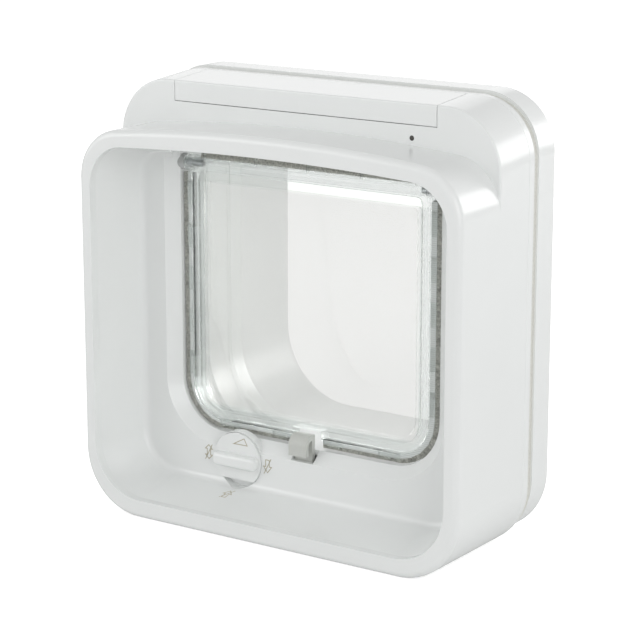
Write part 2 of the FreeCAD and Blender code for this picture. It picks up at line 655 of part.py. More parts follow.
# Front housing: hood, battery strip, fascia and the collar round the flap in one moulding
def make_front_housing():
    body = new_body("front_housing")
    strip = sketch_at(body, "strip_outline", "XZ_Plane", strip_plane)
    outline(strip, unit_half, size("strip_foot"), strip_head,
            size("unit_bottom_radius"), size("unit_top_radius"))
    strip_pad = leaning_pad(body, "strip_pad", strip, strip_depth)
    front = strip_plane.value
    names = edges_where(strip_pad, lambda edge, space: in_plane(space, front))
    fillet(body, "strip_fillet", strip_pad, names, size("strip_rounding"))
    hood = sketch_at(body, "hood_outline", "XZ_Plane", rim_plane)
    arched_outline(
        hood, unit_half, 0, hood_crown, size("unit_bottom_radius"),
        size("hood_top_radius"), size("hood_arch_radius"),
    )
    hood_pad = back_pad(body, "hood_pad", hood, parting_plane - rim_plane)
    rim = rim_plane.value
    rim_edges = edges_where(hood_pad, lambda edge, space: in_plane(space, rim))
    fillet(body, "rim_fillet", hood_pad, rim_edges, size("rim_rounding"))

    mouth = sketch_at(body, "mouth_outline", "XZ_Plane", rim_plane)
    arched_outline(
        mouth, unit_half - size("rim_side"), size("rim_bottom"), hood_crown - size("rim_top"),
        size("lip_bottom_radius"), size("lip_top_radius"), size("lip_arch_radius"),
    )
    back_pocket(body, "mouth_pocket", mouth, size("lip_depth"))
    wide = sketch_at(body, "hollow_start", "XZ_Plane", rim_plane + size("lip_depth"))
    arched_outline(
        wide, unit_half - size("rim_side"), size("rim_bottom"), hood_crown - size("rim_top"),
        size("lip_bottom_radius"), size("lip_top_radius"), size("lip_arch_radius"),
    )
    narrow = sketch_at(body, "hollow_end", "XZ_Plane", fascia_plane)
    arched_outline(
        narrow, unit_half - size("rim_side") - size("hood_taper"), size("rim_bottom") + size("hood_taper"),
        hood_crown - size("rim_top") - size("hood_taper"),
        size("lip_bottom_radius") - size("hood_taper"), size("lip_top_radius") - size("hood_taper"),
        size("lip_arch_radius") - size("hood_taper"),
    )
    hollow = loft("PartDesign::SubtractiveLoft", body, "hood_hollow", wide, narrow)
    fascia = fascia_plane.value
    ledge_edges = edges_where(hollow, lambda edge, space: in_plane(space, fascia))
    fillet(body, "ledge_fillet", hollow, ledge_edges, size("ledge_rounding"))

    # The head of the opening runs forward under the hood, clear of the pile over the hinge
    relief = sketch_at(body, "head_relief", "XZ_Plane", fascia_plane - size("ledge_rounding"))
    rectangle(relief, -opening_half, opening_half, hinge_height - size("knuckle_radius"),
              opening_head)
    back_pocket(body, "head_relief_pocket", relief, size("ledge_rounding"))

    funnel_start = sketch_at(body, "funnel_start", "XZ_Plane", fascia_plane)
    opening_outline(funnel_start, grow=size("funnel_slope"))
    funnel_end = sketch_at(body, "funnel_end", "XZ_Plane", flap_front)
    opening_outline(funnel_end)
    loft("PartDesign::SubtractiveLoft", body, "funnel", funnel_start, funnel_end)
    through = sketch_at(body, "opening_outline", "XZ_Plane", flap_front)
    opening_outline(through)
    back_pocket(body, "opening", through, -flap_front)

    # Everything between the outer wall and the collar is hollow from behind
    ring = sketch_at(body, "hollow_ring", "XZ_Plane", parting_plane)
    unit_outline(ring, inset=size("wall"), fall=size("top_fall"))
    collar_outline(ring)
    front_pocket(body, "hollow_pocket", ring, parting_plane - hollow_front)

    # Seat of the battery cover, through the top wall and the upper part of the strip
    seat = sketch_at(body, "cover_seat", "XZ_Plane", strip_plane - size("cover_gap"))
    seat_foot = strip_head - size("cover_apron") - size("cover_gap")
    rectangle(seat, -(cover_half + size("cover_gap")), cover_half + size("cover_gap"),
              seat_foot, size("unit_height") + size("cover_gap"))
    back_pocket(body, "cover_seat_pocket", seat, -strip_plane)

    # Round boss that carries the lock dial across the funnel
    boss = sketch_at(body, "dial_boss", "XZ_Plane", fascia_plane)
    circle(boss, size("dial_across"), dial_height, dial_recess + size("dial_boss_wall"))
    back_pad(body, "dial_boss_pad", boss, size("fascia_wall"))
    reach = size("dial_proud") + size("grip_height") + size("dial_gap")
    recess = sketch_at(body, "dial_recess", "XZ_Plane", fascia_plane - reach)
    circle(recess, size("dial_across"), dial_height, dial_recess)
    back_pocket(body, "dial_recess_pocket", recess, reach + size("dial_sink"))
    bore = sketch_at(body, "spindle_bore", "XZ_Plane", fascia_plane)
    circle(bore, size("dial_across"), dial_height, size("spindle_radius") + size("running_fit"))
    back_pocket(body, "spindle_bore_pocket", bore, size("fascia_wall"))

    # Slot in the sill for the latch, with a channel behind the fascia for its arm
    latch_half = size("latch_width") / 2
    slot = sketch_at(body, "latch_slot", "XY_Plane", size("opening_sill") + size("wall"))
    rectangle(slot, -(latch_half + size("latch_slot_gap")),
              latch_half + size("latch_slot_gap") + size("latch_slot_wide"),
              fascia_plane, flap_front)
    pocket(body, "latch_slot_pocket", slot, size("funnel_slope") + size("wall"))
    arm_front = flap_front - size("latch_clearance") - size("latch_thickness") - size("latch_slot_gap")
    channel = sketch_at(body, "latch_channel", "XY_Plane", size("opening_sill") + size("wall"))
    rectangle(channel, -(latch_half + size("latch_slot_gap")), latch_half + size("latch_slot_gap"),
              arm_front, flap_front)
    pocket(body, "latch_channel_pocket", channel,
           size("opening_sill") + size("wall") - latch_foot_height + size("latch_slot_gap"))

    # Bores for the hinge bushes, the status light and the screws
    bushes = sketch_at(body, "bush_bores", "YZ_Plane", 0)
    circle(bushes, hinge_plane, hinge_height, size("knuckle_radius"))
    pocket(body, "bush_bores_pocket", bushes, collar_half * 2 + size("wall"), middle=True)
    light = sketch_at(body, "lens_bore", "XZ_Plane", strip_plane)
    circle(light, lens_across, lens_height, size("lens_radius"))
    back_pocket(body, "lens_bore_pocket", light, hollow_front - strip_plane)
    bosses = sketch_at(body, "screw_bosses", "XZ_Plane", hollow_front)
    for across, height in fixing_places:
        circle(bosses, across, height, size("fixing_radius") + size("boss_wall"))
    for across, height in joint_places:
        circle(bosses, across, height, size("joint_screw_radius") + size("boss_wall"))
    back_pad(body, "screw_bosses_pad", bosses, parting_plane - hollow_front)
    pilots = sketch_at(body, "screw_pilots", "XZ_Plane", parting_plane)
    for across, height in fixing_places:
        circle(pilots, across, height, size("fixing_radius") + size("running_fit"))
    for across, height in joint_places:
        circle(pilots, across, height, size("joint_screw_radius") + size("running_fit"))
    front_pocket(body, "screw_pilots_pocket", pilots, size("fixing_reach"))

    # Ribs that the battery tray stands on, and posts behind the circuit boards
    ribs = sketch_at(body, "tray_ribs", "XZ_Plane", hollow_front)
    rib_in = tray_rib_at
    rib_out = rib_in + size("tray_rib_width")
    rectangle(ribs, -rib_out, -rib_in, collar_head, tray_foot)
    rectangle(ribs, rib_in, rib_out, collar_head, tray_foot)
    back_pad(body, "tray_ribs_pad", ribs, size("tray_rib_depth"))
    posts = sketch_at(body, "control_posts", "XZ_Plane", hollow_front)
    middle = control_left + size("control_width") / 2
    circle(posts, middle, control_foot + size("post_inset"), size("post_radius"))
    circle(posts, middle, control_head - size("post_inset"), size("post_radius"))
    back_pad(body, "control_posts_pad", posts, control_front - hollow_front)
    posts = sketch_at(body, "indicator_posts", "XZ_Plane", hollow_front)
    middle = indicator_foot + size("indicator_height") / 2
    circle(posts, indicator_left + size("post_inset"), middle, size("post_radius"))
    circle(posts, indicator_left + size("indicator_width") - size("post_inset") / 2, middle,
           size("post_radius"))
    back_pad(body, "indicator_posts_pad", posts, board_front - hollow_front)
    keep(body, "front_housing")


# Rear housing: back of the inner unit with the tunnel through the door
def make_rear_housing():
    body = new_body("rear_housing")
    plate = sketch_at(body, "plate", "XZ_Plane", parting_plane)
    unit_outline(plate)
    plate_pad = back_pad(body, "plate_pad", plate, size("back_depth"))
    seam = parting_plane.value
    names = edges_where(plate_pad, lambda edge, space: in_plane(space, seam))
    chamfer(body, "seam_bevel", plate_pad, names, size("seam_chamfer"))
    tube = sketch_at(body, "tunnel_outside", "XZ_Plane", parting_plane)
    outline(tube, collar_half, tunnel_sill - size("wall"), collar_head,
            size("tunnel_low_radius") + size("wall"), collar_high_radius)
    back_pad(body, "tunnel_pad", tube, size("tunnel_reach") + size("back_depth"))
    near = sketch_at(body, "tunnel_inside", "XZ_Plane", parting_plane)
    outline(near, opening_half + size("tunnel_step"), tunnel_sill, opening_head,
            size("tunnel_low_radius"), size("opening_high_radius"))
    back_pocket(body, "tunnel_near_pocket", near, size("back_depth") + size("tunnel_step_at"))
    far = sketch_at(body, "tunnel_far", "XZ_Plane", size("tunnel_step_at"))
    outline(far, opening_half, tunnel_sill, opening_head,
            size("tunnel_end_radius"), size("opening_high_radius"))
    back_pocket(body, "tunnel_far_pocket", far, size("tunnel_reach"))
    ring = sketch_at(body, "back_hollow", "XZ_Plane", parting_plane)
    unit_outline(ring, inset=size("wall"))
    outline(ring, collar_half + size("wall"), tunnel_sill - size("wall") * 2, collar_head + size("wall"),
            size("tunnel_low_radius") + size("wall") * 2, collar_high_radius + size("wall"))
    back_pocket(body, "back_hollow_pocket", ring, size("back_recess"))
    pads = sketch_at(body, "screw_pads", "XZ_Plane", parting_plane)
    for across, height in fixing_places:
        circle(pads, across, height, size("fixing_radius") + size("boss_wall"))
    for across, height in joint_places:
        circle(pads, across, height, size("joint_head_radius") + size("boss_wall") / 2)
    back_pad(body, "screw_pads_pad", pads, size("back_depth"))
    holes = sketch_at(body, "screw_holes", "XZ_Plane", parting_plane)
    for across, height in fixing_places:
        circle(holes, across, height, size("fixing_radius") + size("running_fit"))
    for across, height in joint_places:
        circle(holes, across, height, size("joint_screw_radius") + size("running_fit"))
    back_pocket(body, "screw_holes_pocket", holes, size("back_depth") * 2)
    wells = sketch_at(body, "head_wells", "XZ_Plane", 0)
    for across, height in joint_places:
        circle(wells, across, height, size("joint_head_radius") + size("running_fit"))
    front_pocket(body, "head_wells_pocket", wells, size("joint_head_height"))
    keep(body, "rear_housing")


# Exterior frame, with a collar of its own round the tunnel
def make_exterior_frame():
    body = new_body("exterior_frame")
    half = unit_half
    foot = size("frame_lift")
    head = size("unit_height") + size("frame_rise")
    wall = size("wall")
    plate = sketch_at(body, "frame_outline", "XZ_Plane", frame_front)
    outline(plate, half, foot, head, size("frame_bottom_radius"), size("frame_top_radius"))
    plate_pad = back_pad(body, "frame_pad", plate, size("frame_depth"))
    back = frame_back.value
    names = edges_where(plate_pad, lambda edge, space: in_plane(space, back))
    fillet(body, "frame_fillet", plate_pad, names, size("frame_rounding"))
    gap = size("tunnel_clearance")
    hole = sketch_at(body, "tunnel_hole", "XZ_Plane", frame_front)
    outline(hole, collar_half + gap, tunnel_sill - wall - gap, collar_head + gap,
            size("tunnel_low_radius") + wall + gap, collar_high_radius + gap)
    back_pocket(body, "tunnel_hole_pocket", hole, size("frame_depth") * 2)
    ring = sketch_at(body, "frame_hollow", "XZ_Plane", frame_front)
    outline(ring, half - wall, foot + wall, head - wall,
            size("frame_bottom_radius") - wall, size("frame_top_radius") - wall)
    skirt = gap + wall
    outline(ring, collar_half + skirt, tunnel_sill - wall - skirt, collar_head + skirt,
            size("tunnel_low_radius") + wall + skirt, collar_high_radius + skirt)
    back_pocket(body, "frame_hollow_pocket", ring, size("frame_depth") - size("frame_rounding"))
    bosses = sketch_at(body, "frame_bosses", "XZ_Plane", frame_front)
    for across, height in fixing_places:
        circle(bosses, across, height, size("well_radius") + size("boss_wall") / 2)
    back_pad(body, "frame_bosses_pad", bosses, size("frame_depth") - size("frame_rounding") / 2)
    holes = sketch_at(body, "frame_holes", "XZ_Plane", frame_front)
    for across, height in fixing_places:
        circle(holes, across, height, size("fixing_radius") + size("running_fit"))
    back_pocket(body, "frame_holes_pocket", holes, size("frame_depth") * 2)
    wells = sketch_at(body, "frame_wells", "XZ_Plane", frame_back)
    for across, height in fixing_places:
        circle(wells, across, height, size("well_radius"))
    front_pocket(body, "frame_wells_pocket", wells, size("fixing_sink"))
    keep(body, "exterior_frame")


# Foam seal between the two frames
def make_weather_seal():
    body = new_body("weather_seal")
    ring = sketch_at(body, "seal_outline", "XZ_Plane", 0)
    unit_outline(ring, inset=size("seal_inset"))
    unit_outline(ring, inset=size("seal_inset") + size("seal_width"))
    back_pad(body, "seal_pad", ring, size("door_gap"))
    keep(body, "weather_seal")


# Lift-off cover of the battery bay
def make_battery_cover():
    body = new_body("battery_cover")
    foot = strip_head - size("cover_apron")
    depth = strip_depth - size("cover_gap")
    shell = sketch_at(body, "cover_outline", "XZ_Plane", strip_plane)
    rectangle(shell, -cover_half, cover_half, foot, strip_head)
    shell_pad = leaning_pad(body, "cover_pad", shell, depth)
    front, head = strip_plane.value, strip_head.value
    names = edges_where(shell_pad, lambda edge, space: in_plane(space, front) and space.ZMin > head - 1)
    fillet(body, "cover_fillet", shell_pad, names, size("strip_rounding"))
    inside = sketch_at(body, "cover_inside", "XY_Plane", foot)
    wall = size("cover_wall")
    rectangle(inside, -(cover_half - wall), cover_half - wall,
              strip_plane + wall, strip_plane + depth - wall)
    pocket(body, "cover_pocket", inside, size("cover_apron") - wall, reversed_way=True)
    feet = sketch_at(body, "cover_feet", "XZ_Plane", strip_plane + wall)
    near = cover_half - size("cover_foot_width")
    rectangle(feet, -cover_half, -near, foot - size("cover_gap"), foot + wall)
    rectangle(feet, near, cover_half, foot - size("cover_gap"), foot + wall)
    back_pad(body, "cover_feet_pad", feet, wall)
    keep(body, "battery_cover")


def profile(sketch, corners, arcs=()):
    """A closed outline through its corners; arcs gives the centre height of a rounded stretch."""
    centres = dict(arcs)
    corners = [(length(across), length(up)) for across, up in corners]
    ring = []
    for index, (across, up) in enumerate(corners):
        end_across, end_up = corners[(index + 1) % len(corners)]
        start = (across.value, up.value)
        end = (end_across.value, end_up.value)
        if index not in centres:
            ring.append((line(sketch, start, end), START, END))
            continue
        centre_across, centre_up, clockwise = centres[index]
        middle = (centre_across.value, centre_up.value)
        radius = math.hypot(start[0] - middle[0], start[1] - middle[1])
        angles = [math.degrees(math.atan2(y - middle[1], x - middle[0])) for x, y in (start, end)]
        if clockwise:
            angles.reverse()
        if angles[1] < angles[0]:
            angles[1] += 360
        curve = arc(sketch, middle, radius, *angles)
        ring.append((curve, END, START) if clockwise else (curve, START, END))
        constrain(sketch, "DistanceY", *ORIGIN, curve, CENTRE, amount=centre_up)
    for index, (across, up) in enumerate(corners):
        piece, begin, finish = ring[index]
        following, following_begin, following_finish = ring[(index + 1) % len(ring)]
        constrain(sketch, "Coincident", piece, finish, following, following_begin)
        constrain(sketch, "DistanceX", *ORIGIN, piece, begin, amount=across)
        constrain(sketch, "DistanceY", *ORIGIN, piece, begin, amount=up)


# Clear flap: plate, bead, groove and raised window, hinge bar and the tabs that grip the pile
knuckle_end = opening_half - size("wall") - size("end_float")
pile_front = hinge_plane - size("pile_thickness") / 2
pile_back = hinge_plane + size("pile_thickness") / 2


def tab_row(body, name, skin_plane, spans, foot, tall):
    """Tabs on one face of the flap, each given by its left and right ends."""
    sketch = sketch_at(body, name, "XZ_Plane", skin_plane)
    for left, right in spans:
        rectangle(sketch, left, right, foot, foot + tall)
    return back_pad(body, f"{name}_pad", sketch, size("tab_skin"))


def repeat_upwards(body, name, original, spacing, count):
    pattern = body.newObject("PartDesign::LinearPattern", name)
    pattern.Originals = [original]
    pattern.Direction = (origin_plane(body, "Z_Axis"), [""])
    bind(pattern, "Length", spacing * (count - 1))
    bind(pattern, "Occurrences", count)
    body.Tip = pattern
    return pattern


def make_flap_panel():
    body = new_body("flap_panel")
    foot = panel_foot
    head = hinge_height
    corner = size("hinge_bar_radius")
    plate = sketch_at(body, "panel_outline", "XZ_Plane", hinge_plane)
    outline(plate, panel_half, foot, head, size("panel_radius"), corner)
    pad(body, "panel_pad", plate, size("panel_plate"), middle=True)
    bead = sketch_at(body, "bead_ring", "XZ_Plane", hinge_plane)
    outline(bead, panel_half, foot, head, size("panel_radius"), corner)
    inset = size("bead_width")
    outline(bead, panel_half - inset, foot + inset, head - corner, size("panel_radius") - inset, corner)
    pad(body, "bead_pad", bead, size("bead_height"), middle=True)
    window = sketch_at(body, "window_outline", "XZ_Plane", hinge_plane)
    inset = inset + size("groove_width")
    outline(window, panel_half - inset, foot + inset, window_head,
            size("panel_radius") - inset, size("groove_width"))
    pad(body, "window_pad", window, size("panel_plate") + size("window_rise") * 2, middle=True)
    bar = sketch_at(body, "hinge_bar", "YZ_Plane", 0)
    circle(bar, hinge_plane, head, corner)
    pad(body, "hinge_bar_pad", bar, panel_half * 2, middle=True)
    for side, name in ((-1, "left"), (1, "right")):
        knuckle = sketch_at(body, f"knuckle_{name}", "YZ_Plane", knuckle_end * side)
        circle(knuckle, hinge_plane, head, size("knuckle_radius"))
        pad(body, f"knuckle_{name}_pad", knuckle, size("knuckle_length"), reversed_way=side > 0)
        bore = sketch_at(body, f"pin_bore_{name}", "YZ_Plane", knuckle_end * side)
        circle(bore, hinge_plane, head, size("pin_radius"))
        pocket(body, f"pin_bore_{name}_pocket", bore, size("pin_grip"), reversed_way=side < 0)
    notch = sketch_at(body, "latch_notch", "XZ_Plane", hinge_plane)
    rectangle(notch, -(size("notch_width") / 2), size("notch_width") / 2, pile_foot, notch_top)
    pocket(body, "latch_notch_pocket", notch, size("bead_height") * 2, middle=True)

    reach = panel_half + size("tab_width")
    seat = panel_half - size("tab_skin")
    side_spans = ((-reach, -seat), (seat, reach))
    half_tab = size("tab_length") / 2
    middles = [middle * side for middle in (size("low_tab_near"), low_tab_far) for side in (-1, 1)]
    low_spans = [(middle - half_tab, middle + half_tab) for middle in middles]
    rib_middles = [rib_pitch * step for step in (-2, -1, 0, 1, 2)]
    rib_spans = [(middle - size("rib_width") / 2, middle + size("rib_width") / 2) for middle in rib_middles]
    faces = (("front", pile_front - size("tab_skin")), ("rear", pile_back))
    for name, plane in faces:
        lowest = tab_row(body, f"side_tabs_{name}", plane, side_spans, tab_first - half_tab,
                         size("tab_length"))
        repeat_upwards(body, f"side_tabs_{name}_row", lowest, tab_pitch, size("tab_count"))
        tab_row(body, f"low_tabs_{name}", plane, low_spans, foot - size("tab_width"),
                size("tab_width") + size("tab_skin"))
        tab_row(body, f"ribs_{name}", plane, rib_spans, head, top_pile_head - head)
    keep(body, "flap_panel")


def make_pile(side, name):
    """One L of pile: down a side of the flap, round the corner and up to the latch notch."""
    body = new_body(f"pile_{name}")
    ring = sketch_at(body, f"pile_ring_{name}", "XZ_Plane", hinge_plane)
    width = pile_half - panel_half
    outline(ring, pile_half, pile_foot, opening_head, size("panel_radius") + width, width)
    outline(ring, panel_half, panel_foot, hinge_height, size("panel_radius"), width / 2)
    pad(body, f"pile_ring_{name}_pad", ring, size("pile_thickness"), middle=True)
    other = sketch_at(body, f"pile_other_half_{name}", "XZ_Plane", hinge_plane)
    ends = (size("notch_width") / 2 * side, opening_half * -side)
    left, right = sorted(ends, key=lambda item: item.value)
    rectangle(other, left, right, 0, opening_head)
    pocket(body, f"pile_other_half_{name}_pocket", other, size("pile_thickness") * 2, middle=True)
    top = sketch_at(body, f"pile_top_{name}", "XZ_Plane", hinge_plane)
    rectangle(top, -opening_half, opening_half, pile_head, opening_head)
    pocket(body, f"pile_top_{name}_pocket", top, size("pile_thickness") * 2, middle=True)
    keep(body, f"pile_{name}")


def make_top_pile():
    foot = hinge_height + size("hinge_bar_radius")
    keep(
        box("top_pile", -top_pile_half, pile_front, foot, top_pile_half * 2,
            size("pile_thickness"), top_pile_head - foot),
        "top_pile",
    )


def make_hinge_hardware():
    grip_end = knuckle_end - size("pin_grip")
    pin_length = collar_half - size("pin_radius") / 2 - grip_end
    bush_start = opening_half - size("wall")
    bush_length = collar_half - bush_start
    pins = []
    bushes = []
    for side, name in ((-1, "left"), (1, "right")):
        pin_place = grip_end if side > 0 else -(grip_end + pin_length)
        bush_place = bush_start if side > 0 else -collar_half
        pins.append(cylinder(f"pin_{name}", "x", pin_place, hinge_plane, hinge_height,
                             size("pin_radius"), pin_length))
        outer = cylinder(f"bush_{name}", "x", bush_place, hinge_plane, hinge_height,
                         size("knuckle_radius") - size("running_fit"), bush_length)
        bore = cylinder(f"bush_bore_{name}", "x", bush_place, hinge_plane, hinge_height,
                        size("pin_radius") + size("running_fit"), bush_length)
        bushes.append(cut(f"bush_shell_{name}", outer, bore))
    keep(group("hinge_pins", pins), "hinge_pins")
    keep(group("hinge_bushes", bushes), "hinge_bushes")


# Latch: a tongue that stands in front of the flap, on the plunger of a solenoid
latch_back = flap_front - size("latch_clearance")
arm_front = latch_back - size("latch_thickness")
nose_front = fascia_plane - size("latch_nose_reach")
plunger_plane = latch_back + size("plunger_reach")
solenoid_foot = size("wall")
solenoid_head = solenoid_foot + size("coil_body_height")
plunger_foot = solenoid_head - size("plunger_sink")


def make_latch():
    body = new_body("latch_tongue")
    side = sketch_at(body, "tongue_side", "YZ_Plane", 0)
    foot = latch_foot_height
    shelf = foot + size("latch_foot_thickness")
    foot_end = plunger_plane + size("latch_foot_reach")
    top = latch_top
    turn = arm_front - nose_front
    centre = (arm_front, top - turn, False)
    hollow_turn = turn - size("latch_thickness")
    hollow_centre = (arm_front, top - turn, True)
    corners = (
        (arm_front, foot),
        (foot_end, foot),
        (foot_end, shelf),
        (latch_back, shelf),
        (latch_back, top),
        (arm_front, top),
        (nose_front, top - turn),
        (nose_front, latch_nose_foot),
        (nose_front + size("latch_thickness"), latch_nose_foot),
        (nose_front + size("latch_thickness"), top - turn),
        (arm_front, top - turn + hollow_turn),
    )
    profile(side, corners, {5: centre, 9: hollow_centre})
    pad(body, "tongue_pad", side, size("latch_width"), middle=True)
    keep(body, "latch_tongue")
    keep(
        cylinder("latch_plunger", "z", 0, plunger_plane, plunger_foot, size("plunger_radius"),
                 foot - plunger_foot),
        "latch_plunger",
    )


def make_solenoid():
    wide = size("coil_body_width")
    deep = size("coil_body_depth")
    tall = size("coil_body_height")
    wall = size("yoke_wall")
    front = plunger_plane - deep / 2
    bore_radius = size("plunger_radius") + size("running_fit")
    block = box("yoke_block", -(wide / 2), front, solenoid_foot, wide, deep, tall)
    window = box("yoke_window", -(wide / 2), front + wall, solenoid_foot + wall, wide, deep - wall * 2,
                 tall - wall * 2)
    bore = cylinder("yoke_bore", "z", 0, plunger_plane, solenoid_foot + wall, bore_radius, tall)
    keep(cut("solenoid_yoke", block, [window, bore]), "solenoid_yoke")
    winding = cylinder("winding", "z", 0, plunger_plane, solenoid_foot + wall, size("winding_radius"),
                       tall - wall * 2)
    winding_bore = cylinder("winding_bore", "z", 0, plunger_plane, plunger_foot - size("running_fit"),
                            bore_radius, tall)
    keep(cut("solenoid_winding", winding, winding_bore), "solenoid_winding")


# Lock dial with its grip, spindle and detent cam
def make_dial():
    across, height = size("dial_across"), dial_height
    face = fascia_plane - size("dial_proud")
    back = fascia_plane + size("dial_sink") - size("dial_gap")
    cam_front = hollow_front + size("dial_gap")
    cam_back = cam_front + size("cam_thickness")
    body = new_body("lock_dial")
    disc = sketch_at(body, "dial_disc", "XZ_Plane", face)
    circle(disc, across, height, size("dial_radius"))
    back_pad(body, "dial_disc_pad", disc, back - face)
    flat = sketch_at(body, "dial_flat", "XZ_Plane", face)
    rectangle(flat, across - size("dial_radius"), across + size("dial_radius"),
              height - size("dial_radius") - size("dial_gap"), height - size("dial_flat"))
    back_pocket(body, "dial_flat_pocket", flat, back - face)
    grip = sketch_at(body, "dial_grip", "XZ_Plane", face)
    half = size("grip_length") / 2
    rise = size("grip_width") / 2
    turn = size("grip_rounding")
    profile(
        grip,
        (
            (across - half + turn, height - rise),
            (across + half - turn, height - rise),
            (across + half, height - rise + turn),
            (across + half, height + rise - turn),
            (across + half - turn, height + rise),
            (across - half + turn, height + rise),
            (across - half, height + rise - turn),
            (across - half, height - rise + turn),
        ),
        {
            1: (across + half - turn, height - rise + turn, False),
            3: (across + half - turn, height + rise - turn, False),
            5: (across - half + turn, height + rise - turn, False),
            7: (across - half + turn, height - rise + turn, False),
        },
    )
    grip_pad = pad(body, "dial_grip_pad", grip, size("grip_height"))
    ridge = (face - size("grip_height")).value
    names = edges_where(grip_pad, lambda edge, space: in_plane(space, ridge))
    fillet(body, "dial_grip_fillet", grip_pad, names, size("grip_crest"))
    spindle = sketch_at(body, "dial_spindle", "XZ_Plane", back)
    circle(spindle, across, height, size("spindle_radius"))
    back_pad(body, "dial_spindle_pad", spindle, cam_back - back)
    keep(body, "lock_dial")

    cam = new_body("detent_cam")
    plate = sketch_at(cam, "cam_outline", "XZ_Plane", cam_front)
    circle(plate, across, height, size("cam_radius"))
    circle(plate, across, height, size("spindle_radius"))
    back_pad(cam, "cam_pad", plate, size("cam_thickness"))
    notches = sketch_at(cam, "cam_notches", "XZ_Plane", cam_front)
    for right, up in ((1, 0), (0, 1), (-1, 0), (0, -1)):
        circle(notches, across + size("cam_radius") * right, height + size("cam_radius") * up,
               size("detent_radius"))
    back_pocket(cam, "cam_notches_pocket", notches, size("cam_thickness"))
    keep(cam, "detent_cam")

    leaf_place = across + size("cam_radius") + size("dial_gap") + size("detent_radius")
    leaf_tall = size("cam_radius") * 2
    leaf_deep = cam_back - hollow_front
    leaf_thickness = size("contact_thickness")
    leaf_foot = height - size("cam_radius")
    leaf = box("detent_leaf", leaf_place, hollow_front, leaf_foot, leaf_thickness, leaf_deep, leaf_tall)
    foot = box("detent_foot", leaf_place, hollow_front, leaf_foot, size("cam_radius") / 2, leaf_thickness,
               leaf_tall)
    bump_radius = size("detent_radius") - size("dial_gap") / 2
    bump = cylinder("detent_bump", "y", leaf_place, cam_front, height, bump_radius, size("cam_thickness"))
    keep(fuse("detent_spring", [leaf, foot, bump]), "detent_spring")


# Battery bay: tray, cells, contacts, learn button and its switch
tray_front = hollow_front + size("tray_gap")
tray_back = parting_plane - size("tray_gap")
tray_middle = (tray_front + tray_back) / 2
cell_rows = (
    ("front", tray_middle - size("cell_pitch") / 2),
    ("rear", tray_middle + size("cell_pitch") / 2),
)
button_foot = button_top - size("button_height")
switch_foot = button_foot - size("button_travel") - size("switch_gap") - size("switch_height")


def make_battery_bay():
    half = tray_half
    foot = tray_foot
    thin = size("contact_thickness")
    cradle_radius = size("cell_radius") + size("tray_clearance")
    block = box("tray_block", -half, tray_front, foot, half * 2, tray_back - tray_front, tray_top - foot)
    well_radius = size("button_radius") + size("running_fit")
    guide = cylinder("button_guide", "z", 0, tray_middle, foot, well_radius + size("button_guide"),
                     button_top - size("button_travel") * 2 - foot)
    well = cylinder("button_well", "z", 0, tray_middle, switch_foot, well_radius,
                    size("button_height") * 2)
    cradles = []
    cells = []
    contacts = []
    start = size("cell_start")
    nub = size("cell_nub_radius")
    contact_wide = size("contact_width")
    for row, place in cell_rows:
        for side, name in ((-1, "left"), (1, "right")):
            label = f"{row}_{name}"
            cradle_start = start - thin if side > 0 else -(cell_end + thin)
            cradles.append(cylinder(f"cradle_{label}", "x", cradle_start, place, cell_height,
                                    cradle_radius, size("cell_length") + thin * 2))
            cell_place = start if side > 0 else -cell_end
            can = cylinder(f"cell_can_{label}", "x", cell_place, place, cell_height,
                           size("cell_radius"), size("cell_length") - thin * 2)
            tip = cylinder(f"cell_tip_{label}", "x", cell_place, place, cell_height, nub,
                           size("cell_length"))
            cells.append(fuse(f"cell_{label}", [can, tip]))
            for edge, spot in (("near", start - thin), ("far", cell_end)):
                left = spot if side > 0 else -(spot + thin)
                contacts.append(box(f"contact_{label}_{edge}", left, place - contact_wide / 2,
                                    cell_height - contact_wide, thin, contact_wide,
                                    size("contact_height")))
    keep(cut("battery_tray", fuse("tray_solid", [block, guide]), cradles + [well]), "battery_tray")
    keep(group("battery_cells", cells), "battery_cells")
    keep(group("battery_contacts", contacts), "battery_contacts")
    keep(
        cylinder("learn_button", "z", 0, tray_middle, button_foot, size("button_radius"),
                 size("button_height")),
        "learn_button",
    )
    keep(
        cylinder("learn_switch", "z", 0, tray_middle, switch_foot, size("button_radius"),
                 size("switch_height")),
        "learn_switch",
    )


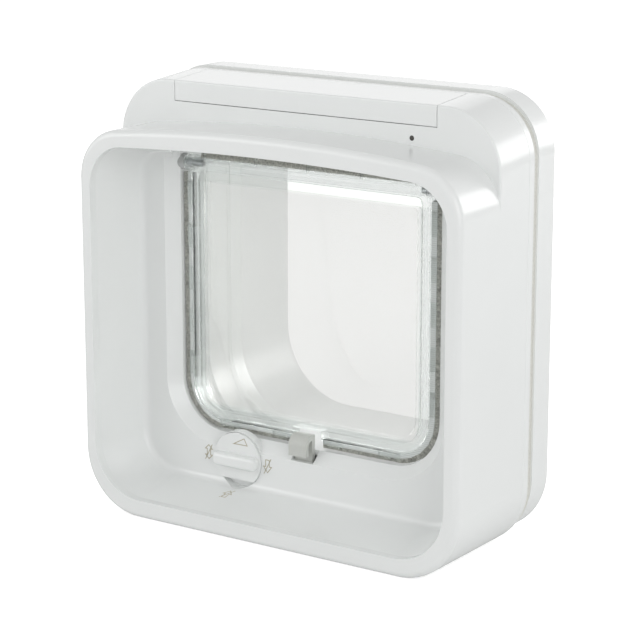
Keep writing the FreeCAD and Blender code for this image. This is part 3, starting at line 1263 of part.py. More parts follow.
# Status light and circuit boards
def make_electronics():
    guide = cylinder("light_guide_rod", "y", lens_across, strip_plane, lens_height,
                     size("lens_radius") - size("running_fit"), size("lens_length"))
    collar = cylinder("light_guide_collar", "y", lens_across, hollow_front, lens_height,
                      size("lens_collar"), size("lens_radius"))
    keep(fuse("light_guide", [guide, collar]), "light_guide")
    thick = size("board_thickness")
    plate = box("indicator_plate", indicator_left, board_front, indicator_foot, size("indicator_width"),
                thick, size("indicator_height"))
    lamp = cylinder("indicator_lamp", "y", lens_across, board_front - size("lamp_height"),
                    lens_height, size("lamp_radius"), size("lamp_height"))
    keep(fuse("indicator_board", [plate, lamp]), "indicator_board")
    wide = size("control_width")
    board = box("control_plate", control_left, control_front, control_foot, wide, thick,
                control_head - control_foot)
    middle = control_left + wide / 2
    half_chip = size("chip_side") / 2
    chip = box("control_chip", middle - half_chip, control_front - thick,
               (control_foot + control_head) / 2 - half_chip, size("chip_side"), thick, size("chip_side"))
    socket = box("control_socket", middle - size("socket_width") / 2, control_front - size("socket_depth"),
                 control_head - size("socket_drop"), size("socket_width"), size("socket_depth"),
                 size("socket_height"))
    can = cylinder("control_capacitor", "y", middle, control_front - size("capacitor_height"),
                   control_foot + size("capacitor_rise"), size("capacitor_radius"),
                   size("capacitor_height"))
    keep(fuse("control_board", [board, chip, socket, can]), "control_board")

    coil = new_body("antenna_coil")
    ring = sketch_at(coil, "coil_ring", "XZ_Plane", -size("coil_back") - size("coil_width"))
    collar_outline(ring, grow=size("coil_gap"))
    collar_outline(ring, grow=size("coil_gap") + size("coil_thickness"))
    back_pad(coil, "coil_pad", ring, size("coil_width"))
    keep(coil, "antenna_coil")


# Screws and the caps over them
def make_fasteners():
    fixings = []
    caps = []
    well_floor = frame_back - size("fixing_sink")
    for index, (across, height) in enumerate(fixing_places, start=1):
        shank = cylinder(f"fixing_shank_{index}", "y", across, -size("fixing_reach"), height,
                         size("fixing_radius"), size("fixing_reach") + well_floor)
        head = cylinder(f"fixing_head_{index}", "y", across, well_floor, height, size("fixing_head_radius"),
                        size("fixing_head_height"))
        fixings.append(fuse(f"fixing_screw_{index}", [shank, head]))
        caps.append(cylinder(f"screw_cap_{index}", "y", across, frame_back - size("cap_thickness"), height,
                             size("well_radius") - size("running_fit"), size("cap_thickness")))
    keep(group("fixing_screws", fixings), "fixing_screws")
    keep(group("screw_caps", caps), "screw_caps")
    joiners = []
    for index, (across, height) in enumerate(joint_places, start=1):
        tip = parting_plane - size("joint_screw_length")
        shank = cylinder(f"joint_shank_{index}", "y", across, tip, height,
                         size("joint_screw_radius"), size("joint_screw_length") - parting_plane)
        head = cylinder(f"joint_head_{index}", "y", across, -size("joint_head_height"), height,
                        size("joint_head_radius"), size("joint_head_height"))
        joiners.append(fuse(f"joint_screw_{index}", [shank, head]))
    keep(group("housing_screws", joiners), "housing_screws")


make_front_housing()
make_rear_housing()
make_exterior_frame()
make_weather_seal()
make_battery_cover()
make_flap_panel()
make_pile(-1, "left")
make_pile(1, "right")
make_top_pile()
make_hinge_hardware()
make_latch()
make_solenoid()
make_dial()
make_battery_bay()
make_electronics()
make_fasteners()

doc.recompute()
failed = [item.Name for item in doc.Objects if "Invalid" in item.State or "Error" in item.State]
if failed:
    raise RuntimeError(f"these failed to build: {failed}")
for label, item in nodes.items():
    if item.Shape.isNull() or not item.Shape.isValid():
        raise RuntimeError(f"{label} has no sound shape")
os.makedirs("parts", exist_ok=True)
for label, item in nodes.items():
    item.Shape.exportStep(f"parts/{label}.step")
    print(label, len(item.Shape.Solids), "solids", round(item.Shape.Volume), "mm3")
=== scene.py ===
import math

import bmesh
import bpy
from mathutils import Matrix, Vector


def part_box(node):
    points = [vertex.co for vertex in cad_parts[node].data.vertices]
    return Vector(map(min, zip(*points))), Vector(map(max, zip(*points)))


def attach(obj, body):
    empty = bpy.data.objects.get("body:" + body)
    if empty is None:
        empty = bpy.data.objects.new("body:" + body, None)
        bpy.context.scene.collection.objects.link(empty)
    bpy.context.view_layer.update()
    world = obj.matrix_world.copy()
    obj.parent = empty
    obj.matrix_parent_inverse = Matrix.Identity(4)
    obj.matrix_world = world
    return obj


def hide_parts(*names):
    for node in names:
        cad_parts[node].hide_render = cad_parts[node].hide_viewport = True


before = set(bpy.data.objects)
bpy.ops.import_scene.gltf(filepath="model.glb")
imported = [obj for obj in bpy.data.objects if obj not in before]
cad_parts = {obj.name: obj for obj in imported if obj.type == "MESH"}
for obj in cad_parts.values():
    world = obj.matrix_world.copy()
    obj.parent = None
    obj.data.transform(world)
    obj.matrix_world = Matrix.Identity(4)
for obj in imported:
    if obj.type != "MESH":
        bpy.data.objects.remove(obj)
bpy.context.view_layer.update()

bl_info = {
    "name": "Cat flap",
    "version": (1, 0, 0),
    "blender": (4, 5, 0),
    "location": "3D View > Sidebar > Cat flap",
    "description": "Pile, printed marks, finishes and studio for the packed cat flap",
    "category": "Object",
}

MM = 0.001

# Zones of the clear flap, in millimetres across and up
WINDOW_HALF = 59.8
WINDOW_FOOT = 50.8
WINDOW_HEAD = 160
WEB_HALF = 62.4
WEB_HEAD = 165

# Shares of the pile's height that its backing covers
SIDE_WEAVE = 0.5
TOP_WEAVE = 0.15


def linear(code):
    """An sRGB hex colour as linear red, green and blue."""
    levels = [int(code[place : place + 2], 16) / 255 for place in (1, 3, 5)]
    return [level / 12.92 if level <= 0.04045 else ((level + 0.055) / 1.055) ** 2.4 for level in levels]


def colour(name, description, code):
    return bpy.props.FloatVectorProperty(
        name=name, description=description, subtype="COLOR", size=3, min=0, max=1, default=linear(code)
    )


def distance(name, description, millimetres):
    return bpy.props.FloatProperty(
        name=name, description=description, default=millimetres * MM, unit="LENGTH", precision=5
    )


def level(name, description, value):
    return bpy.props.FloatProperty(name=name, description=description, default=value, min=0)


def power(name, description, watts):
    return bpy.props.FloatProperty(name=name, description=description, default=watts, min=0, unit="POWER")


class CatFlapSizes(bpy.types.PropertyGroup):
    fibre_pitch: distance("Tuft pitch", "Distance between tufts along the pile", 0.42)
    fibre_rows: bpy.props.IntProperty(name="Tuft rows", description="Rows of tufts across the pile", default=6)
    fibre_root: distance("Tuft root", "Radius of a tuft at its root", 0.3)
    fibre_tip: distance("Tuft tip", "Radius of a tuft at its tip", 0.14)
    fibre_stray: distance("Stray", "How far the tips of the tufts wander", 0.22)
    side_pile: distance("Side pile", "Height of the pile at the sides of the flap", 5.9)
    foot_pile: distance("Foot pile", "Height of the pile at the foot of the flap", 4.4)
    corner: distance("Corner", "Radius of the flap's lower corners", 18.0)
    line_width: distance("Line width", "Width of the printed lines", 0.42)
    ink_height: distance("Ink height", "Thickness of the printed lines", 0.03)


class CatFlapColours(bpy.types.PropertyGroup):
    housing: colour("Housing", "White mouldings", "#EDEFEE")
    clear: colour("Flap", "Clear flap", "#FCFDFC")
    window: colour("Window", "Window of the clear flap", "#FFFFFE")
    bead: colour("Bead", "Thick edge of the clear flap", "#F9FBFA")
    pile: colour("Pile", "Pile round the flap", "#ADAEA7")
    backing: colour("Backing", "Backing that the pile is woven on", "#D6DAD8")
    latch: colour("Latch", "Latch tongue and button", "#C7C9C4")
    ink: colour("Marks", "Printed marks", "#B5AE9A")
    seal: colour("Seal", "Foam seal", "#DCDCD5")


class CatFlapLight(bpy.types.PropertyGroup):
    surround: level("Surround", "Strength of the white surround", 0.54)
    top_power: power("Top light", "Power of the softbox overhead", 0.2)
    right_power: power("Right light", "Power of the softbox in front, at the right", 6.5)
    left_power: power("Left light", "Power of the softbox in front, at the left", 6.1)
    rear_power: power("Rear light", "Power of the softbox behind, at the right", 3.6)
    back_power: power("Back light", "Power of the softbox behind, at the left", 1.05)
    tunnel_power: power("Tunnel light", "Power of the softbox behind, level with the tunnel", 2.2)
    floor_glow: level("Floor glow", "Light added to the floor for the camera", 0.64)


# Materials


def node(tree, kind, values=None, links=None, **settings):
    """Adds a shader node, with its settings, the values of its inputs and the sockets that feed them."""
    item = tree.nodes.new(kind)
    for name, value in settings.items():
        setattr(item, name, value)
    for name, value in (values or {}).items():
        item.inputs[name].default_value = value
    for name, socket in (links or {}).items():
        tree.links.new(socket, item.inputs[name])
    return item


def start_material(name):
    material = bpy.data.materials.new(name)
    material.use_nodes = True
    tree = material.node_tree
    tree.nodes.clear()
    place = node(tree, "ShaderNodeTexCoord").outputs["Object"]
    return material, tree, place


def finish_material(tree, shader):
    node(tree, "ShaderNodeOutputMaterial", links={"Surface": shader.outputs[0]})


def four(rgb):
    return (*rgb, 1.0)


def per_mm(size):
    """The scale of a pattern whose features are this many millimetres across."""
    return 1 / (size * MM)


def ramp(tree, socket, stops):
    """Maps a value to colours or greys along the given stops."""
    item = node(tree, "ShaderNodeValToRGB", links={"Fac": socket})
    while len(item.color_ramp.elements) < len(stops):
        item.color_ramp.elements.new(0.5)
    for element, (place, value) in zip(item.color_ramp.elements, stops):
        element.position = place
        element.color = four(value) if hasattr(value, "__len__") else (value, value, value, 1)
    return item.outputs["Color"]


def shade(rgb, factor):
    return [min(1, level * factor) for level in rgb]


def polished_abs(name, rgb):
    # White ABS from a polished mould: a satin gloss with a faint waviness of the skin, and a
    # sheen that is a little duller where the melt met
    material, tree, place = start_material(name)
    flow = node(
        tree, "ShaderNodeTexNoise", {"Scale": per_mm(38), "Detail": 2.0}, {"Vector": place}
    ).outputs["Fac"]
    skin = node(
        tree, "ShaderNodeTexNoise", {"Scale": per_mm(1.1), "Detail": 3.0}, {"Vector": place}
    ).outputs["Fac"]
    tone = ramp(tree, flow, ((0.3, shade(rgb, 0.985)), (0.7, rgb)))
    gloss = node(tree, "ShaderNodeMapRange", {"To Min": 0.17, "To Max": 0.25}, {"Value": flow}).outputs[0]
    relief = node(
        tree, "ShaderNodeBump", {"Strength": 0.05, "Distance": 0.02 * MM}, {"Height": skin}
    ).outputs["Normal"]
    shader = node(
        tree, "ShaderNodeBsdfPrincipled", {"IOR": 1.53},
        {"Base Color": tone, "Roughness": gloss, "Normal": relief},
    )
    finish_material(tree, shader)
    return material


def within(tree, socket, low, high):
    """1 where a value lies between two places given in millimetres, else 0."""
    return node(
        tree, "ShaderNodeMath", {1: (low + high) / 2 * MM, 2: (high - low) / 2 * MM}, {0: socket},
        operation="COMPARE",
    ).outputs[0]


def blended(tree, factor, first, second):
    return node(
        tree, "ShaderNodeMix", links={"Factor": factor, "A": first, "B": second}, data_type="RGBA"
    ).outputs["Result"]


def clear_polycarbonate(name, colours):
    # Clear polycarbonate: the slow waviness that a moulded sheet has, and enough haze in it that
    # its edges stay pale. The thick bead takes a little more of the light than the window, and
    # the thin web above the window least. Lamps reach what is behind
    material, tree, place = start_material(name)
    axes = node(tree, "ShaderNodeSeparateXYZ", links={"Vector": place}).outputs
    inner = node(
        tree, "ShaderNodeMath",
        links={0: within(tree, axes["X"], -WINDOW_HALF, WINDOW_HALF),
               1: within(tree, axes["Z"], WINDOW_FOOT, WINDOW_HEAD)},
        operation="MULTIPLY",
    ).outputs[0]
    web = node(
        tree, "ShaderNodeMath",
        links={0: within(tree, axes["X"], -WEB_HALF, WEB_HALF), 1: within(tree, axes["Z"], WINDOW_HEAD, WEB_HEAD)},
        operation="MULTIPLY",
    ).outputs[0]
    tints = [node(tree, "ShaderNodeRGB").outputs[0] for _ in range(3)]
    for tint, rgb in zip(tints, (colours.bead, colours.window, colours.clear)):
        tint.default_value = four(rgb)
    tone = blended(tree, web, blended(tree, inner, tints[0], tints[1]), tints[2])
    wave = node(
        tree, "ShaderNodeTexNoise", {"Scale": per_mm(24), "Detail": 1.0}, {"Vector": place}
    ).outputs["Fac"]
    relief = node(
        tree, "ShaderNodeBump", {"Strength": 0.12, "Distance": 0.3 * MM}, {"Height": wave}
    ).outputs["Normal"]
    glass = node(
        tree, "ShaderNodeBsdfPrincipled",
        {"Transmission Weight": 1.0, "IOR": 1.58, "Roughness": 0.03},
        {"Base Color": tone, "Normal": relief},
    )
    clear = node(tree, "ShaderNodeBsdfTransparent", links={"Color": tone})
    plain = node(tree, "ShaderNodeMath", {1: 0.3, 2: 0.5}, {0: web}, operation="MULTIPLY_ADD").outputs[0]
    hazy = node(tree, "ShaderNodeMixShader", links={0: plain, 1: glass.outputs[0], 2: clear.outputs[0]})
    ray = node(tree, "ShaderNodeLightPath").outputs["Is Shadow Ray"]
    finish_material(tree, node(
        tree, "ShaderNodeMixShader", links={0: ray, 1: hazy.outputs[0], 2: clear.outputs[0]}
    ))
    return material


def nylon_pile(name, rgb):
    # Nylon pile: dull fibres in several greys, with a soft sheen at their tips
    material, tree, place = start_material(name)
    strands = node(
        tree, "ShaderNodeTexNoise", {"Scale": per_mm(0.9), "Detail": 2.0}, {"Vector": place}
    ).outputs["Fac"]
    tone = ramp(tree, strands, ((0.3, shade(rgb, 0.62)), (0.5, rgb), (0.72, shade(rgb, 1.35))))
    shader = node(
        tree, "ShaderNodeBsdfPrincipled", {"Roughness": 0.95, "Sheen Weight": 0.25, "Sheen Roughness": 0.5},
        {"Base Color": tone},
    )
    finish_material(tree, shader)
    return material


def woven_backing(name, rgb):
    # Polypropylene backing: a tight weave of about 0.5 mm, pale and a little glossy, with painted shade darkening
    # the colour in the grooves of the weave
    material, tree, place = start_material(name)
    weave = node(
        tree, "ShaderNodeTexWave", {"Scale": per_mm(0.5) / 20 * math.pi, "Distortion": 1.0}, {"Vector": place},
        bands_direction="Z",
    ).outputs["Fac"]
    tone = ramp(tree, weave, ((0.2, shade(rgb, 0.82)), (0.7, rgb)))
    relief = node(
        tree, "ShaderNodeBump", {"Strength": 0.4, "Distance": 0.1 * MM}, {"Height": weave}
    ).outputs["Normal"]
    shader = node(tree, "ShaderNodeBsdfPrincipled", {"Roughness": 0.6}, {"Base Color": tone, "Normal": relief})
    finish_material(tree, shader)
    return material


def closed_cell_foam(name, rgb):
    # Closed cell foam: cut cells about 0.7 mm across give it a pitted, dull face, and painted shade darkens the
    # colour in the pits
    material, tree, place = start_material(name)
    cells = node(tree, "ShaderNodeTexVoronoi", {"Scale": per_mm(0.7)}, {"Vector": place}).outputs["Distance"]
    tone = ramp(tree, cells, ((0.1, shade(rgb, 0.85)), (0.6, rgb)))
    relief = node(
        tree, "ShaderNodeBump", {"Strength": 0.5, "Distance": 0.15 * MM}, {"Height": cells}
    ).outputs["Normal"]
    shader = node(tree, "ShaderNodeBsdfPrincipled", {"Roughness": 0.9}, {"Base Color": tone, "Normal": relief})
    finish_material(tree, shader)
    return material


def spark_textured_acetal(name, rgb):
    # Acetal from a spark eroded mould: an even fine grain of about 0.4 mm that kills the gloss
    material, tree, place = start_material(name)
    grain = node(
        tree, "ShaderNodeTexNoise", {"Scale": per_mm(0.4), "Detail": 3.0}, {"Vector": place}
    ).outputs["Fac"]
    tone = ramp(tree, grain, ((0.35, shade(rgb, 0.94)), (0.65, shade(rgb, 1.04))))
    relief = node(
        tree, "ShaderNodeBump", {"Strength": 0.35, "Distance": 0.06 * MM}, {"Height": grain}
    ).outputs["Normal"]
    shader = node(
        tree, "ShaderNodeBsdfPrincipled", {"Roughness": 0.5, "IOR": 1.48}, {"Base Color": tone, "Normal": relief}
    )
    finish_material(tree, shader)
    return material


def zinc_plated_steel(name, rgb):
    # Drawn and zinc plated steel: bright metal with a slightly cloudy plate
    material, tree, place = start_material(name)
    cloud = node(
        tree, "ShaderNodeTexNoise", {"Scale": per_mm(2.5), "Detail": 4.0}, {"Vector": place}
    ).outputs["Fac"]
    tone = ramp(tree, cloud, ((0.3, shade(rgb, 0.86)), (0.7, rgb)))
    gloss = node(tree, "ShaderNodeMapRange", {"To Min": 0.25, "To Max": 0.42}, {"Value": cloud}).outputs[0]
    shader = node(
        tree, "ShaderNodeBsdfPrincipled", {"Metallic": 1.0}, {"Base Color": tone, "Roughness": gloss}
    )
    finish_material(tree, shader)
    return material


def wound_copper(name, axis):
    # Enamelled copper wire: turns of 0.45 mm side by side, amber on their crests and darkened to brown by painted
    # shade in the grooves between them
    material, tree, place = start_material(name)
    turns = node(
        tree, "ShaderNodeTexWave", {"Scale": per_mm(0.45) / 20 * math.pi, "Distortion": 0.3}, {"Vector": place},
        bands_direction=axis,
    ).outputs["Fac"]
    tone = ramp(tree, turns, ((0.0, linear("#5A2A10")), (0.6, linear("#B4622C")), (1.0, linear("#D08848"))))
    relief = node(
        tree, "ShaderNodeBump", {"Strength": 0.8, "Distance": 0.2 * MM}, {"Height": turns}
    ).outputs["Normal"]
    shader = node(
        tree, "ShaderNodeBsdfPrincipled", {"Roughness": 0.3, "Coat Weight": 0.5},
        {"Base Color": tone, "Normal": relief},
    )
    finish_material(tree, shader)
    return material


def taped_winding(name, code):
    # Coil bound in polyester tape: turns of tape 9 mm wide, each with a step where it laps the last and a band of
    # painted shade at the foot of the step
    rgb = linear(code)
    material, tree, place = start_material(name)
    laps = node(
        tree, "ShaderNodeTexWave", {"Scale": per_mm(9) / 20 * math.pi, "Distortion": 0.4}, {"Vector": place},
        bands_direction="DIAGONAL", wave_profile="SAW",
    ).outputs["Fac"]
    tone = ramp(tree, laps, ((0.05, shade(rgb, 0.86)), (0.2, rgb)))
    relief = node(
        tree, "ShaderNodeBump", {"Strength": 0.3, "Distance": 0.1 * MM}, {"Height": laps}
    ).outputs["Normal"]
    shader = node(tree, "ShaderNodeBsdfPrincipled", {"Roughness": 0.45}, {"Base Color": tone, "Normal": relief})
    finish_material(tree, shader)
    return material


def masked_circuit_board(name, front):
    # Glass fibre board under green solder mask, with copper tracks 1.2 mm apart; what stands in
    # front of the board is dark moulded parts
    material, tree, place = start_material(name)
    tracks = node(
        tree, "ShaderNodeTexBrick",
        {"Scale": per_mm(2.4), "Mortar Size": 0.12, "Brick Width": 2.6, "Row Height": 0.5,
         "Color1": four(linear("#12552B")), "Color2": four(linear("#155C30")), "Mortar": four(linear("#3C8A55"))},
        {"Vector": node(tree, "ShaderNodeMapping", {"Rotation": (math.pi / 2, 0, 0)}, {"Vector": place}).outputs[0]},
    ).outputs["Color"]
    depth = node(tree, "ShaderNodeSeparateXYZ", links={"Vector": place}).outputs["Y"]
    raised = node(tree, "ShaderNodeMath", {1: front - 0.05 * MM}, {0: depth}, operation="LESS_THAN").outputs[0]
    tone = node(
        tree, "ShaderNodeMix", {"B": four(linear("#1A1B1C"))}, {"A": tracks, "Factor": raised}, data_type="RGBA"
    ).outputs["Result"]
    shader = node(tree, "ShaderNodeBsdfPrincipled", {"Roughness": 0.35}, {"Base Color": tone})
    finish_material(tree, shader)
    return material


def sleeved_cell(name):
    # Round cell in a printed film sleeve with bare steel at both ends
    material, tree, place = start_material(name)
    across = node(tree, "ShaderNodeSeparateXYZ", links={"Vector": place}).outputs["X"]
    side = node(tree, "ShaderNodeMath", links={0: across}, operation="ABSOLUTE").outputs[0]
    along = node(
        tree, "ShaderNodeMapRange", {"From Min": 11.4 * MM, "From Max": 55.9 * MM}, {"Value": side}
    ).outputs[0]
    tone = ramp(
        tree, along,
        ((0.0, linear("#A9ABAD")), (0.02, linear("#2C3034")), (0.7, linear("#2C3034")),
         (0.705, linear("#B98A4E")), (0.955, linear("#B98A4E")), (0.96, linear("#B9BBBD"))),
    )
    tree.nodes[-1].color_ramp.interpolation = "CONSTANT"
    shader = node(
        tree, "ShaderNodeBsdfPrincipled", {"Roughness": 0.3, "Metallic": 0.6}, {"Base Color": tone}
    )
    finish_material(tree, shader)
    return material


def smoked_acrylic(name):
    # Smoked acrylic light guide, black until its lamp is lit
    material, tree, place = start_material(name)
    haze = node(tree, "ShaderNodeTexNoise", {"Scale": per_mm(1.2)}, {"Vector": place}).outputs["Fac"]
    tone = ramp(tree, haze, ((0.3, linear("#3E3C39")), (0.7, linear("#4C4945"))))
    shader = node(tree, "ShaderNodeBsdfPrincipled", {"Roughness": 0.12, "IOR": 1.49}, {"Base Color": tone})
    finish_material(tree, shader)
    return material


def moulded_part(name, code):
    # Plain glass filled moulding, slightly mottled
    rgb = linear(code)
    material, tree, place = start_material(name)
    mottle = node(
        tree, "ShaderNodeTexNoise", {"Scale": per_mm(1.6), "Detail": 3.0}, {"Vector": place}
    ).outputs["Fac"]
    tone = ramp(tree, mottle, ((0.35, shade(rgb, 0.88)), (0.65, rgb)))
    shader = node(tree, "ShaderNodeBsdfPrincipled", {"Roughness": 0.6}, {"Base Color": tone})
    finish_material(tree, shader)
    return material


def pad_print(name, rgb):
    # Pad printed ink: matt, slightly uneven in density
    material, tree, place = start_material(name)
    density = node(
        tree, "ShaderNodeTexNoise", {"Scale": per_mm(0.6), "Detail": 2.0}, {"Vector": place}
    ).outputs["Fac"]
    tone = ramp(tree, density, ((0.3, shade(rgb, 1.1)), (0.7, shade(rgb, 0.92))))
    shader = node(tree, "ShaderNodeBsdfPrincipled", {"Roughness": 0.7}, {"Base Color": tone})
    finish_material(tree, shader)
    return material


def give(material, *names):
    """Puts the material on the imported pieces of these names."""
    for name in names:
        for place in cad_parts[name].material_slots:
            place.material = material


# Modelling


def deselect():
    if bpy.context.object and bpy.context.object.mode != "OBJECT":
        bpy.ops.object.mode_set(mode="OBJECT")
    bpy.ops.object.select_all(action="DESELECT")


def pick(*objects):
    deselect()
    for item in objects:
        item.select_set(True)
    bpy.context.view_layer.objects.active = objects[-1]


def named(name):
    item = bpy.context.object
    item.name = name
    item.data.name = name
    return item


def settle(item):
    """Brings a finished piece's place into its mesh."""
    pick(item)
    bpy.ops.object.transform_apply(location=True, rotation=True, scale=True)


def modify(item, kind, **settings):
    modifier = item.modifiers.new(kind.title(), kind)
    for name, value in settings.items():
        setattr(modifier, name, value)
    pick(item)
    bpy.ops.object.modifier_apply(modifier=modifier.name)


def select_verts(item, test):
    """Selects in edit mode the vertices that pass a test of their place."""
    pick(item)
    bpy.ops.object.mode_set(mode="EDIT")
    bpy.ops.mesh.select_mode(type="VERT")
    bpy.ops.mesh.select_all(action="DESELECT")
    mesh = bmesh.from_edit_mesh(item.data)
    for vert in mesh.verts:
        vert.select_set(test(vert.co))
    mesh.select_flush(True)
    bmesh.update_edit_mesh(item.data)


def wear(item, material, body):
    if not item.data.materials:
        item.data.materials.append(material)
    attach(item, body)


def bristle_run(name, length, height, thick, woven, pile, backing):
    """A straight run of pile: tufts along X that stand along Y, with a backing up to a share of them."""
    sizes = bpy.context.scene.cat_flap_sizes
    pitch = sizes.fibre_pitch
    rows = sizes.fibre_rows
    deselect()
    bpy.ops.mesh.primitive_cone_add(
        vertices=4, radius1=sizes.fibre_root, radius2=sizes.fibre_tip, depth=height - sizes.fibre_stray,
        end_fill_type="NGON", location=(0, (height - sizes.fibre_stray) / 2, 0), rotation=(-math.pi / 2, 0, 0),
    )
    tufts = named(name)
    settle(tufts)
    count = int(length / pitch)
    step = (thick - 2 * sizes.fibre_root) / (rows - 1)
    modify(tufts, "ARRAY", count=rows, use_relative_offset=False, use_constant_offset=True,
           constant_offset_displace=(pitch / rows, 0, step))
    modify(tufts, "ARRAY", count=count, use_relative_offset=False, use_constant_offset=True,
           constant_offset_displace=(pitch, 0, 0))
    tip = (height - sizes.fibre_stray) * 0.9
    select_verts(tufts, lambda place: place.y > tip)
    bpy.ops.transform.vertex_random(offset=sizes.fibre_stray, seed=7)
    bpy.ops.object.mode_set(mode="OBJECT")
    pick(tufts)
    bpy.ops.transform.translate(value=(0, 0, -(thick / 2 - sizes.fibre_root)))
    settle(tufts)

    deselect()
    bpy.ops.mesh.primitive_cube_add(size=1, location=(length / 2, height * woven / 2, 0))
    core = named(f"{name}_backing")
    core.scale = (length, height * woven, thick)
    settle(core)
    tufts.data.materials.append(pile)
    core.data.materials.append(backing)
    select_verts(core, lambda place: True)
    bpy.ops.mesh.bisect(plane_co=(length / 2, 0, 0), plane_no=(1, 0, 0))
    bpy.ops.mesh.select_all(action="SELECT")
    bpy.ops.mesh.subdivide(number_cuts=3)
    bpy.ops.mesh.subdivide(number_cuts=3)
    bpy.ops.object.mode_set(mode="OBJECT")
    pick(core, tufts)
    bpy.ops.object.join()
    return tufts


def edge_path(name, points):
    """A flat curve along the flap's edge, drawn in its own XY plane."""
    data = bpy.data.curves.new(name, "CURVE")
    data.dimensions = "2D"
    spline = data.splines.new("POLY")
    spline.points.add(len(points) - 1)
    for point, (across, up) in zip(spline.points, points):
        point.co = (across, up, 0, 1)
    item = bpy.data.objects.new(name, data)
    bpy.context.collection.objects.link(item)
    return item


def stand_up(item, middle):
    """Turns what was drawn flat upright into the plane across Y."""
    pick(item)
    bpy.ops.transform.rotate(value=-math.pi / 2, orient_axis="X", center_override=(0, 0, 0))
    top = max((item.matrix_world @ vert.co).z for vert in item.data.vertices)
    if top < 0:
        bpy.ops.transform.rotate(value=math.pi, orient_axis="X", center_override=(0, 0, 0))
    settle(item)
    bpy.ops.transform.translate(value=(0, middle, 0))
    settle(item)


def corner_points(half, foot, head, radius, near):
    """Places along the flap's edge from the notch round the corner to the top."""
    centre = (half - radius, foot + radius)
    points = [(near, foot)]
    for step in range(19):
        turn = math.radians(-90 + step * 5)
        points.append((centre[0] + radius * math.cos(turn), centre[1] + radius * math.sin(turn)))
    points.append((half, head))
    return points


def path_length(points):
    return sum(math.dist(first, second) for first, second in zip(points, points[1:]))


def shorten_end(run, start, end, share):
    """Lowers a run of pile smoothly to a share of its height from start to end along X."""
    select_verts(run, lambda place: True)
    mesh = bmesh.from_edit_mesh(run.data)
    for vert in mesh.verts:
        along = min(1, max(0, (vert.co.x - start) / (end - start)))
        vert.co.y *= 1 + (share - 1) * along
    bmesh.update_edit_mesh(run.data)
    bpy.ops.object.mode_set(mode="OBJECT")


class CATFLAP_OT_pile(bpy.types.Operator):
    """Grows the nylon pile along the sides, foot and top of the flap"""

    bl_idname = "catflap.pile"
    bl_label = "Pile"

    def execute(self, context):
        sizes = context.scene.cat_flap_sizes
        pile = nylon_pile("grey_nylon_pile", context.scene.cat_flap_colours.pile)
        backing = woven_backing("woven_backing", context.scene.cat_flap_colours.backing)
        low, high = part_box("pile_right")
        middle = (low.y + high.y) / 2
        thick = high.y - low.y
        half = high.x - sizes.side_pile
        foot = low.z + sizes.foot_pile
        for side, name in ((-1, "left"), (1, "right")):
            points = corner_points(half, foot, high.z, sizes.corner, low.x)
            if side < 0:
                points = [(-across, up) for across, up in points]
            else:
                points.reverse()
            length = path_length(points)
            run = bristle_run(f"pile_tufts_{name}", length, sizes.side_pile, thick, SIDE_WEAVE, pile, backing)
            flat = half - sizes.corner - low.x
            turned = flat + sizes.corner * math.pi / 2
            ends = (turned, flat) if side < 0 else (length - turned, length - flat)
            shorten_end(run, *ends, sizes.foot_pile / sizes.side_pile)
            path = edge_path(f"pile_path_{name}", points)
            modify(run, "CURVE", object=path, deform_axis="POS_X")
            bpy.data.objects.remove(path)
            stand_up(run, middle)
            wear(run, pile, "flap")
            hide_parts(f"pile_{name}")
        low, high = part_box("top_pile")
        run = bristle_run("pile_tufts_top", high.x - low.x, high.z - low.z, thick, TOP_WEAVE, pile, pile)
        pick(run)
        bpy.ops.transform.translate(value=(low.x, low.z, 0))
        settle(run)
        stand_up(run, middle)
        wear(run, pile, "flap")
        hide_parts("top_pile")
        return {"FINISHED"}


def outline_mark(name, corners, width):
    """A closed printed line through the corners, flat in the XY plane."""
    deselect()
    bpy.ops.mesh.primitive_circle_add(vertices=len(corners), radius=MM, fill_type="NGON")
    mark = named(name)
    for vert, (across, up) in zip(mark.data.vertices, corners):
        vert.co = (across * MM, up * MM, 0)
    pick(mark)
    bpy.ops.object.mode_set(mode="EDIT")
    bpy.ops.mesh.select_mode(type="FACE")
    bpy.ops.mesh.select_all(action="SELECT")
    bpy.ops.mesh.inset(thickness=width)
    bpy.ops.mesh.delete(type="FACE")
    bpy.ops.object.mode_set(mode="OBJECT")
    return mark


def stroke(name, start, end, width):
    """A straight printed line from start to end, flat in the XY plane."""
    deselect()
    bpy.ops.mesh.primitive_plane_add(size=1)
    mark = named(name)
    run = Vector((end[0] - start[0], end[1] - start[1], 0)) * MM
    mark.scale = (run.length, width, 1)
    mark.rotation_euler = (0, 0, math.atan2(run.y, run.x))
    mark.location = ((start[0] + end[0]) / 2 * MM, (start[1] + end[1]) / 2 * MM, 0.01 * MM)
    settle(mark)
    return mark


DOWN_ARROW = ((-1.25, 3.4), (-1.25, 0.1), (-2.8, 0.1), (0, -3.4), (2.8, 0.1), (1.25, 0.1), (1.25, 3.4))
TWO_WAY_ARROW = (
    (0, 3.8), (-2.6, 1.3), (-1.2, 1.3), (-1.2, -1.3), (-2.6, -1.3), (0, -3.8), (2.6, -1.3), (1.2, -1.3), (1.2, 1.3),
    (2.6, 1.3),
)
UP_ARROW = tuple((across, -up) for across, up in DOWN_ARROW)
POINTER = ((-2.7, 7.8), (6.4, 7.9), (4.35, 11.6))


